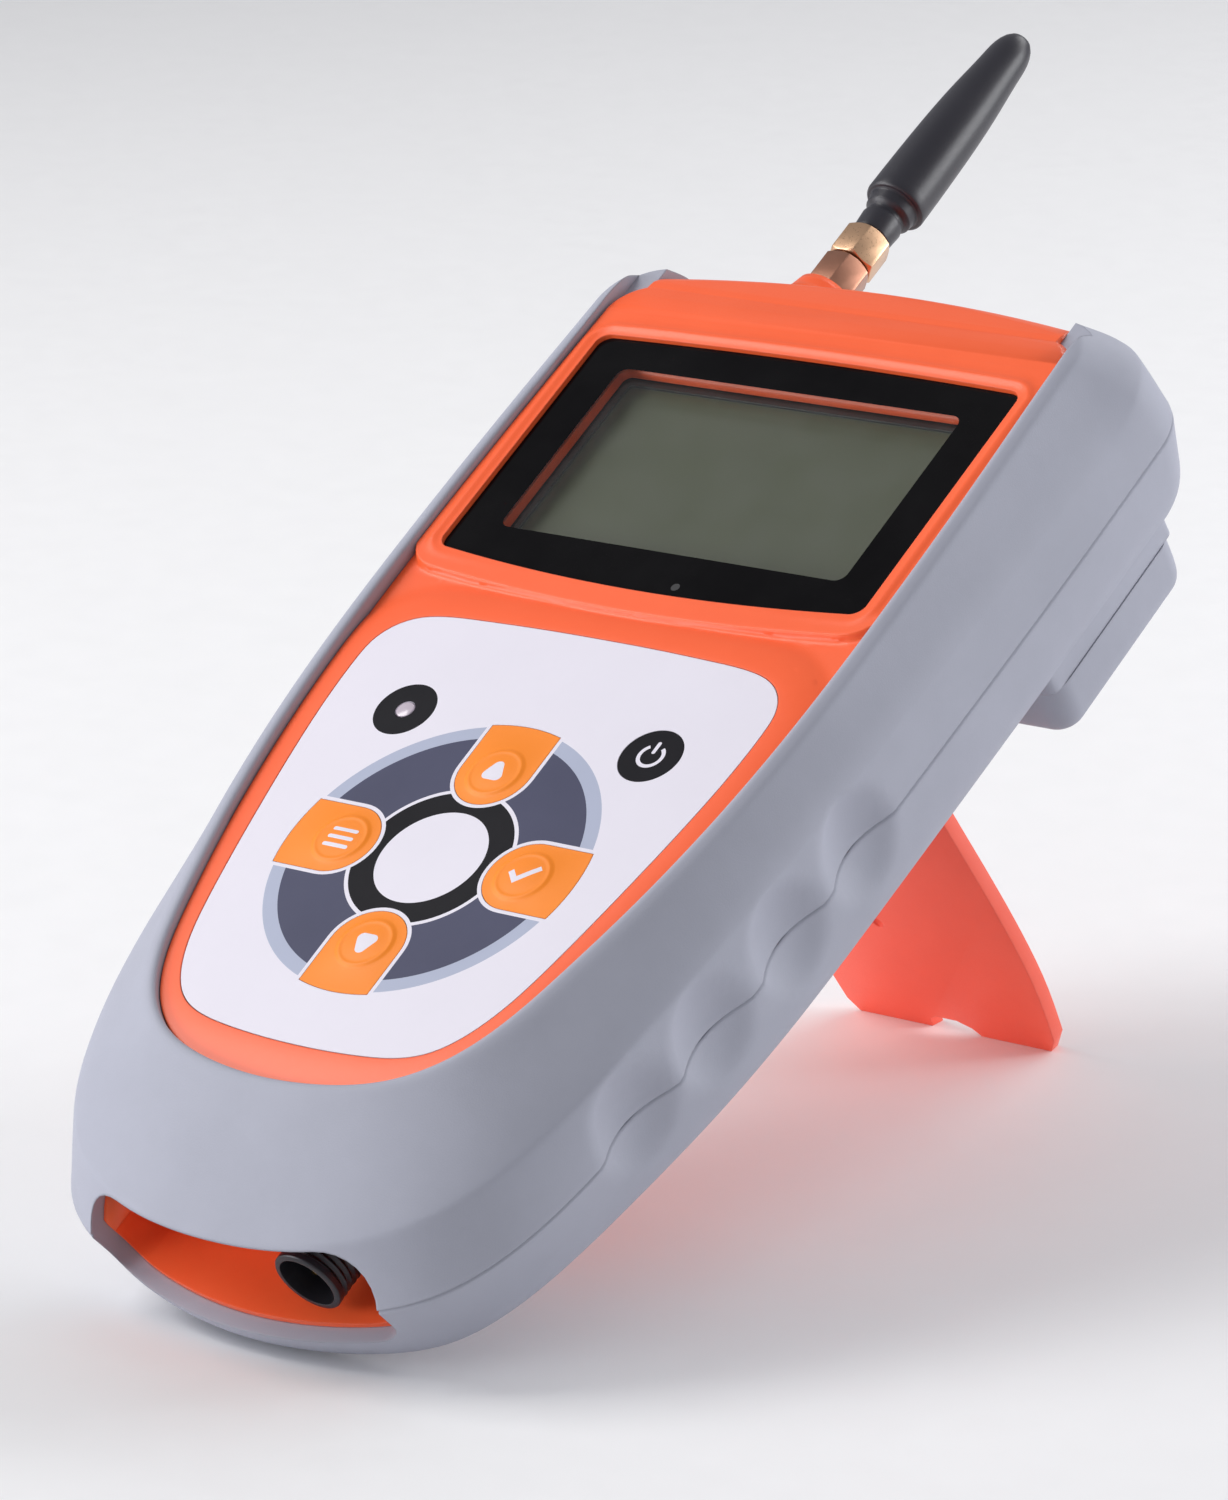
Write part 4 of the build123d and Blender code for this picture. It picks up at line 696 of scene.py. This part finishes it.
# ---------------------------------------------------------------- front housing
def lens_outline(grow, count=40):
    """Display lens outline with bowed ends, grown by an amount."""
    half, r = LENS_HALF_WIDTH + grow, LENS_CORNER + max(grow, 0)
    low, high = LENS_SIDE_Y[0] - grow, LENS_SIDE_Y[1] + grow
    bow_low = LENS_SIDE_Y[0] - LENS_MIDDLE_Y[0]
    bow_high = LENS_MIDDLE_Y[1] - LENS_SIDE_Y[1]
    x = np.linspace(-half + r, half - r, count)
    share = 1 - (x / (half - r)) ** 2
    lower = np.column_stack([x, low - bow_low * share])
    upper = np.column_stack([x, high + bow_high * share])[::-1]
    return np.vstack([
        lower, arc((half - r, low + r), r, -80, -10, 7), arc((half - r, high - r), r, 10, 80, 7),
        upper, arc((-half + r, high - r), r, 100, 170, 7), arc((-half + r, low + r), r, 190, 260, 7)])


def overlay_outline(grow, count=220):
    """Keypad overlay outline."""
    half = np.array(OVERLAY_EDGE)
    return grown(smooth_loop(np.vstack([half, (half * (-1, 1))[-2:0:-1]]), count), grow)


def face_height(points):
    """Relief of the face: a ridge round the lens, a flat band below it and a dished surround of the keypad."""
    lens_gap = distance_to(points, lens_outline(0.15))
    pad_gap = distance_to(points, overlay_outline(0.15))
    ridge = 0.42 * np.exp(-((lens_gap - 1.9) / 0.85) ** 2) * eased((points[:, 1] - 60.5) / 6)
    dish = -1.2 * np.minimum(1, pad_gap / 8) ** 1.8 * eased((66 - points[:, 1]) / 4)
    return ridge + dish * eased((lens_gap - 4.6) / 0.7)


def face_grid(outline, spacing=1.3):
    """Points spread over the face, clear of its outlines."""
    x, y = np.meshgrid(np.arange(-49, 49, spacing), np.arange(-49, FACE_END_Y, spacing))
    points = np.column_stack([x.ravel(), y.ravel()])
    points = points[inside(points, outline)]
    clear = distance_to(points, outline) > 0.5
    for hole in (lens_outline(0.15), overlay_outline(0.15)):
        clear &= ~inside(points, hole) & (distance_to(points, hole) > 0.35)
    return points[clear]


def make_front_housing():
    housing = cad_copy("front_housing")
    slope = [(FACE_END_Y - 0.5, 0.0), (124.0, -0.04), (127.0, -0.28), (130.0, -0.7), (134.0, -1.5), (140.0, -3.0),
             (150.0, -6.3), (150.0, 9.0), (FACE_END_Y - 0.5, 9.0)]
    rings = [np.array([(x, y, z) for y, z in slope]) for x in (-60, 60)]
    combine(housing, [temporary(*solid(rings)), box((-60, -60, FACE_BACK_Z), (60, FACE_END_Y, 5))])
    outline = plan(FACE_EDGE, 0.1, FACE_END_Y, 0.3)
    guides = [lens_outline(gap) for gap in (0.6, 1.1, 1.6, 2.1, 2.6, 3.2, 4.3, 4.6, 4.8, 5.0, 5.3, 6.0)]
    guides += [overlay_outline(gap) for gap in (0.7, 1.4, 2.2, 3.2, 4.4, 5.6, 6.6)]
    face = printed_sheet(outline, [lens_outline(0.15), overlay_outline(0.15)], [], 0.0, FACE_BACK_Z, face_height,
                         guides, face_grid(outline))
    place(joined([housing, face]), "front_housing_skin", "instrument", [ORANGE], ["front_housing"],
          sharp=38)


# ---------------------------------------------------------------- display lens
def make_lens():
    window = rectangle((-VIEW_WIDTH / 2, VIEW_Y - VIEW_HEIGHT / 2), (VIEW_WIDTH / 2, VIEW_Y + VIEW_HEIGHT / 2), 2.0)
    sensor = circle(SENSOR_CENTRE, 0.8, 24)
    lens = printed_sheet(lens_outline(0.0), [], [(window, 1), (sensor, 2)], LENS_TOP_Z, LENS_TOP_Z - LENS_THICKNESS + 0.05)
    mesh = lens.data
    for face in mesh.polygons:
        if face.normal.z < -0.9:
            face.material_index = 1
    place(lens, "display_lens_plate", "instrument", [LENS_BLACK, LENS_CLEAR, SLOT_FINISH["chip_black"]],
          ["display_lens"])


# ---------------------------------------------------------------- keypad
def turned_by(outline, angle):
    c, s = math.cos(math.radians(angle)), math.sin(math.radians(angle))
    return outline @ np.array([[c, s], [-s, c]])


def key_outline(grow, angle):
    """Arrow key: a round inner end and an outer end that follows the ring."""
    radius = KEY_WIDTH / 2 + grow
    centre = KEY_INNER + KEY_WIDTH / 2
    outer = KEY_OUTER + grow
    reach = math.degrees(math.asin(radius / outer))
    shape = np.vstack([arc((centre, 0), radius, 90, 270, 30), arc((0, 0), outer, -reach, reach, 16)])
    return turned_by(shape, angle)


def dome_height(centre):
    """Embossed round dome about a centre."""
    def height(points):
        share = np.hypot(points[:, 0] - centre[0], points[:, 1] - centre[1]) / DOME_RADIUS
        rim = 0.14 * np.exp(-((share - 0.84) / 0.07) ** 2)
        return 0.8 * DOME_HEIGHT * np.clip(1 - share ** 2.2, 0, None) + rim
    return height


def arrow(centre, up):
    """Rounded drop that points up or down."""
    shape = rounded_polygon([(-0.95, -0.75), (0.95, -0.75), (0.0, 1.3)], 1.0, 9)
    return shape * (1, up) + centre if up > 0 else (shape * (1, -1))[::-1] + centre


def bars(centre):
    """Three stacked bars."""
    return [rectangle((centre[0] - 2.6, centre[1] + y - 0.38), (centre[0] + 2.6, centre[1] + y + 0.38), 0.35)
            for y in (-1.7, 0.0, 1.7)]


def tick(centre):
    """Check mark."""
    shape = np.array([(-2.9, 0.1), (-2.2, 0.85), (-0.85, -0.45), (2.2, 2.45), (2.9, 1.75), (-0.85, -1.9)])[::-1]
    return [shape + centre]


def power_symbol(centre):
    """Broken ring and bar."""
    ring_part = np.vstack([arc(centre, 2.55, 125, 415, 40), arc(centre, 1.85, 415, 125, 40)])
    return [ring_part, rectangle((centre[0] - 0.35, centre[1] + 0.5), (centre[0] + 0.35, centre[1] + 3.1), 0.3)]


ARROW_KEYS = {"ok": 0, "up": 90, "menu": 180, "down": 270}


def make_keypad():
    prints = [(circle((0, 0), 28.9, 160), 2), (circle((0, 0), 26.33, 160), 1), (circle((0, 0), 14.9, 120), 0),
              (circle((0, 0), 14.2, 120), 3), (circle((0, 0), 9.83, 96), 0), (circle(STATUS_CENTRE, DISC_RADIUS), 3)]
    prints += [(key_outline(KEY_OUTLINE, angle), 0) for angle in ARROW_KEYS.values()]
    holes = [key_outline(0.0, angle) for angle in ARROW_KEYS.values()]
    holes += [circle(POWER_CENTRE, DISC_RADIUS - 0.02), circle(STATUS_CENTRE, PIPE_RADIUS + 0.08, 40)]
    overlay = printed_sheet(overlay_outline(0.0), holes, prints, 0.0, -OVERLAY_THICKNESS)
    place(overlay, "keypad_overlay_sheet", "instrument",
          [OVERLAY_WHITE, PRINT_SLATE, PRINT_LIGHT, PRINT_BLACK], ["keypad_overlay"])
    for key, angle in ARROW_KEYS.items():
        centre = turned_by(np.array([[DOME_CENTRE, 0.0]]), angle)[0]
        icons = {"ok": tick(centre), "menu": bars(centre), "up": [arrow(centre, 1)], "down": [arrow(centre, -1)]}[key]
        guides = [circle(centre, DOME_RADIUS * share, 48) for share in (1.0, 0.96, 0.92, 0.88, 0.84, 0.8, 0.76, 0.7, 0.55, 0.3)]
        cap = printed_sheet(key_outline(-KEY_GAP, angle), [], [(icon, 1) for icon in icons], 0.0, -OVERLAY_THICKNESS,
                            dome_height(centre), guides)
        place(cap, "key_" + key + "_cap", "key_" + key, [KEY_ORANGE, OVERLAY_WHITE], ["key_" + key], 60)
    guides = [circle(POWER_CENTRE, DISC_RADIUS * share, 48) for share in (0.92, 0.8, 0.6, 0.35)]
    cap = printed_sheet(circle(POWER_CENTRE, DISC_RADIUS - KEY_GAP), [], [(s, 1) for s in power_symbol(POWER_CENTRE)],
                        0.0, -OVERLAY_THICKNESS, None, guides)
    place(cap, "key_power_cap", "key_power", [PRINT_BLACK, OVERLAY_WHITE], ["key_power"])
    pipe = turned([(PIPE_RADIUS, 0.0), (PIPE_RADIUS, 13.3), (PIPE_RADIUS * 0.92, 13.62), (PIPE_RADIUS * 0.6, 13.72),
                   (0.05, 13.75)], (0, 0), 40)
    pipe.data.transform(Matrix.Translation((*STATUS_CENTRE, -13.6)) @ Matrix.Rotation(math.radians(90), 4, "X"))
    place(pipe, "light_pipe_rod", "instrument", [SLOT_FINISH["pipe_clear"]], ["light_pipe"])


# ---------------------------------------------------------------- antenna
def hex_nut(start, end, flats, bore, both_ends=False):
    """Hexagon along Y with turned chamfers and a bore."""
    corner = flats / math.sqrt(3)
    nut = along_y(circle((ANTENNA_X, ANTENNA_Z), corner, 6), start, end)
    drop = 0.55
    first = drop if both_ends else 0.0
    barrel = turned([(flats / 2 * 0.97 if both_ends else corner + 1, start), (corner + 0.02, start + first + 1e-3),
                     (corner + 0.02, end - drop), (flats / 2 * 0.97, end)], (ANTENNA_X, ANTENNA_Z), 96)
    combine(nut, [barrel], "INTERSECT")
    combine(nut, [turned([(bore, start - 1), (bore, end + 1)], (ANTENNA_X, ANTENNA_Z), 64)])
    return rounded(nut, 0.12, 2, 25)


def make_antenna():
    place(hex_nut(143.6, 151.3, 8.0, 3.15, True), "jack_nut_hex", "instrument", [DULL_BRASS],
          ["jack_nut"], 25)
    place(hex_nut(151.7, 158.6, 8.0, 3.2, True), "coupling_nut_hex", "coupling_nut", [BRASS],
          ["coupling_nut"], 25)
    neck = [(2.6, 158.95), (3.45, 158.95), (3.6, 159.1), (3.85, 162.6), (3.7, 163.2), (3.35, 163.45), (3.3, 163.9),
            (3.4, 164.3), (4.1, 164.7), (4.35, 165.0), (4.55, 166.7), (4.8, 167.0), (5.25, 167.05)]
    bend = np.linspace(0, 1, 40)
    taper = smooth_through([(5.65, 167.7), (5.6, 172.0), (5.42, 181.0), (4.75, 195.0), (3.95, 204.4), (3.0, 209.7),
                            (1.7, 211.4), (0.05, 211.8)], len(bend))
    profile = neck + [(5.55, 167.3)] + [tuple(p) for p in taper]
    whip = turned(profile, (ANTENNA_X, ANTENNA_Z), 96)
    bore = turned([(2.5, 150), (2.5, 166.0)], (ANTENNA_X, ANTENNA_Z), 48)
    combine(whip, [bore])
    place(whip, "antenna_whip_sleeve", "antenna", [WHIP], ["antenna_whip"], 30)


# ---------------------------------------------------------------- round connector
def thread_wobble(pitch, depth):
    """Radius change of a screw thread."""
    def wobble(turns, y):
        phase = (y / pitch - turns / (2 * math.pi)) % 1.0
        return -depth * (1 - np.abs(2 * phase - 1)) ** 0.8
    return wobble


def make_connector():
    centre = (CONNECTOR_X, CONNECTOR_Z)
    steps = np.arange(-68.6, -58.6, 0.12)
    shell = turned([(6.0, y) for y in steps], centre, 72, thread_wobble(1.25, 0.55))
    collar = turned([(5.5, -70.0), (5.85, -69.9), (6.0, -69.7), (6.0, -68.75), (5.8, -68.55)], centre, 72)
    combine(shell, [collar], "UNION")
    flange = turned([(7.0, -58.5), (7.2, -58.3), (7.2, -57.0), (6.0, -57.0), (6.0, -51.0)], centre, 72)
    combine(shell, [flange], "UNION")
    combine(shell, [turned([(5.1, -70.6), (4.9, -69.6), (4.9, -62.0), (4.4, -62.0), (4.4, -50)], centre, 72)])
    key = box((CONNECTOR_X - 0.7, -69.2, CONNECTOR_Z + 3.9), (CONNECTOR_X + 0.7, -62.2, CONNECTOR_Z + 5.2))
    combine(shell, [key], "UNION")
    place(shell, "connector_shell_thread", "instrument", [CONNECTOR], ["connector_shell"], 30)


# ---------------------------------------------------------------- stand and battery door
def make_stand():
    side = smooth_through([(18.4, 0.0), (19.6, 20.0), (21.0, 36.0), (22.5, 49.0), (23.8, 64.0), (23.9, 77.0),
                           (22.6, 89.0)], 26)
    foot = [(19.6, 94.0), (7.8, 94.0), (4.4, 90.3), (1.5, 89.0), (-3.0, 89.0), (-4.6, 90.0), (-5.2, 94.0), (-19.6, 94.0)]
    outline = np.vstack([side, foot, (side * (-1, 1))[::-1]])
    rings = [np.column_stack([outline[:, 0], np.full(len(outline), y), STAND_AXIS_Z - outline[:, 1]])
             for y in (STAND_AXIS_Y - 1.5, STAND_AXIS_Y + 1.5)]
    plate = temporary(*solid(rings))
    barrel = turned_x([(2.2, -18.4), (2.5, -18.1), (2.5, 18.1), (2.2, 18.4)], (STAND_AXIS_Y, STAND_AXIS_Z))
    combine(plate, [barrel], "UNION")
    combine(plate, [ground_block()])
    combine(plate, [turned_x([(1.06, -30), (1.06, 30)], (STAND_AXIS_Y, STAND_AXIS_Z))])
    plate = rounded(plate, 0.45, 3, 40)
    pit = turned([(1.15, 81.0), (1.15, 81.5), (1.0, 81.85), (0.6, 82.05), (0.05, 82.1)], (-5.8, STAND_AXIS_Z - 65.6), 24)
    combine(plate, [pit])
    place(plate, "kickstand_plate", "stand", [STAND_ORANGE], ["kickstand"], 30)


def make_door():
    def level(shrink, height):
        return ring(rounded_polygon([(-50.4, 89.8), (50.4, 89.8), (50.4, 120.2), (-50.4, 120.2)], 5.0 + shrink * 0.2 - shrink, 12),
                    height)
    rings = softened([level(0, -37.0), level(0, -39.5), level(0.15, -43.0), level(0.6, -45.3), level(1.9, -46.8),
                      level(3.6, -47.2), level(5.2, -47.2)], 4)
    door = temporary(*solid(rings))
    hollow = box((-52.6, 87.6, -45.6), (52.6, 122.4, -36.0))
    combine(door, [hollow])
    grips = [prism(rectangle((-16, y - 0.6), (16, y + 0.6), 0.6), -48, -46.6) for y in np.arange(92.0, 103.1, 2.4)]
    combine(door, grips + [box((-26.4, 121.9, -40.9), (26.4, 126.0, -36.9))])
    knuckle = turned_x([(1.1, -22.0), (1.2, -21.8), (1.2, 21.8), (1.1, 22.0)], (125.3, -38.3))
    web = box((-22, 123.4, -39.5), (22, 125.3, -37.1))
    combine(door, [web, knuckle], "UNION")
    combine(door, [turned_x([(0.65, -30), (0.65, 30)], (125.3, -38.3))])
    place(door, "battery_door_cap", "battery_door", [DOOR_RUBBER], ["battery_door"], 35)


make_boot()
make_front_housing()
make_lens()
make_keypad()
make_antenna()
make_connector()
make_stand()
make_door()

# ---------------------------------------------------------------- floor, light and camera
floor_mesh = bpy.data.meshes.new("floor")
floor_mesh.from_pydata([(-6, -6, 0), (6, -6, 0), (6, 6, 0), (-6, 6, 0)], [], [(0, 1, 2, 3)])
floor = bpy.data.objects.new("floor", floor_mesh)
bpy.context.scene.collection.objects.link(floor)
floor_mesh.materials.append(surface("floor_pale", (0.86, 0.86, 0.87), 0.7, 8.0, 0.0, 0.004, edge=0.01, edge_rub_and_highlight=0.0))


def area_light(name, place_at, aim, size, power, colour=(1, 1, 1)):
    data = bpy.data.lights.new(name, "AREA")
    data.shape = "RECTANGLE"
    data.size, data.size_y = size
    data.energy, data.color = power, colour
    lamp = bpy.data.objects.new(name, data)
    bpy.context.scene.collection.objects.link(lamp)
    lamp.location = place_at
    lamp.rotation_mode = "QUATERNION"
    lamp.rotation_quaternion = (Vector(aim) - Vector(place_at)).to_track_quat("-Z", "Y")
    return lamp


TARGET = (0.0, 0.0, 0.07)
area_light("key_light", (-0.9, -0.5, 1.1), TARGET, (0.8, 0.8), 12.0, (1.0, 0.985, 0.97))
area_light("fill_light", (-0.9, -1.1, 0.2), (0.0, 0.03, 0.04), (0.9, 0.35), 9.0, (0.96, 0.97, 1.0))
area_light("side_light", (0.75, 0.75, 0.35), (0.0, 0.12, 0.12), (0.5, 0.5), 5.5, (0.97, 0.98, 1.0))
area_light("back_light", (0.2, 1.3, 0.9), TARGET, (1.2, 0.6), 7.0)

world = bpy.data.worlds.new("studio")
world.use_nodes = True
world.node_tree.nodes["Background"].inputs["Color"].default_value = (0.95, 0.96, 1.0, 1)
world.node_tree.nodes["Background"].inputs["Strength"].default_value = 0.40
bpy.context.scene.world = world
bpy.context.scene.view_settings.view_transform = "Standard"

CAMERA_PLACE = Vector((663.9, -479.8, 643.6))
CAMERA_RIGHT = Vector((0.7718, 0.5235, -0.3610))
CAMERA_UP = Vector((-0.1472, 0.6993, 0.6995))
camera_data = bpy.data.cameras.new("camera")
camera_data.lens = 158.4
camera_data.sensor_width = 36.0
camera_data.clip_start, camera_data.clip_end = 0.05, 20.0
camera = bpy.data.objects.new("camera", camera_data)
bpy.context.scene.collection.objects.link(camera)
CAMERA_BACK = CAMERA_RIGHT.cross(CAMERA_UP)
turn = Matrix((CAMERA_RIGHT, CAMERA_UP, CAMERA_BACK)).transposed().to_4x4()
camera.matrix_world = Matrix.Translation(TO_ROW @ CAMERA_PLACE) @ TURN @ turn
bpy.context.scene.camera = camera
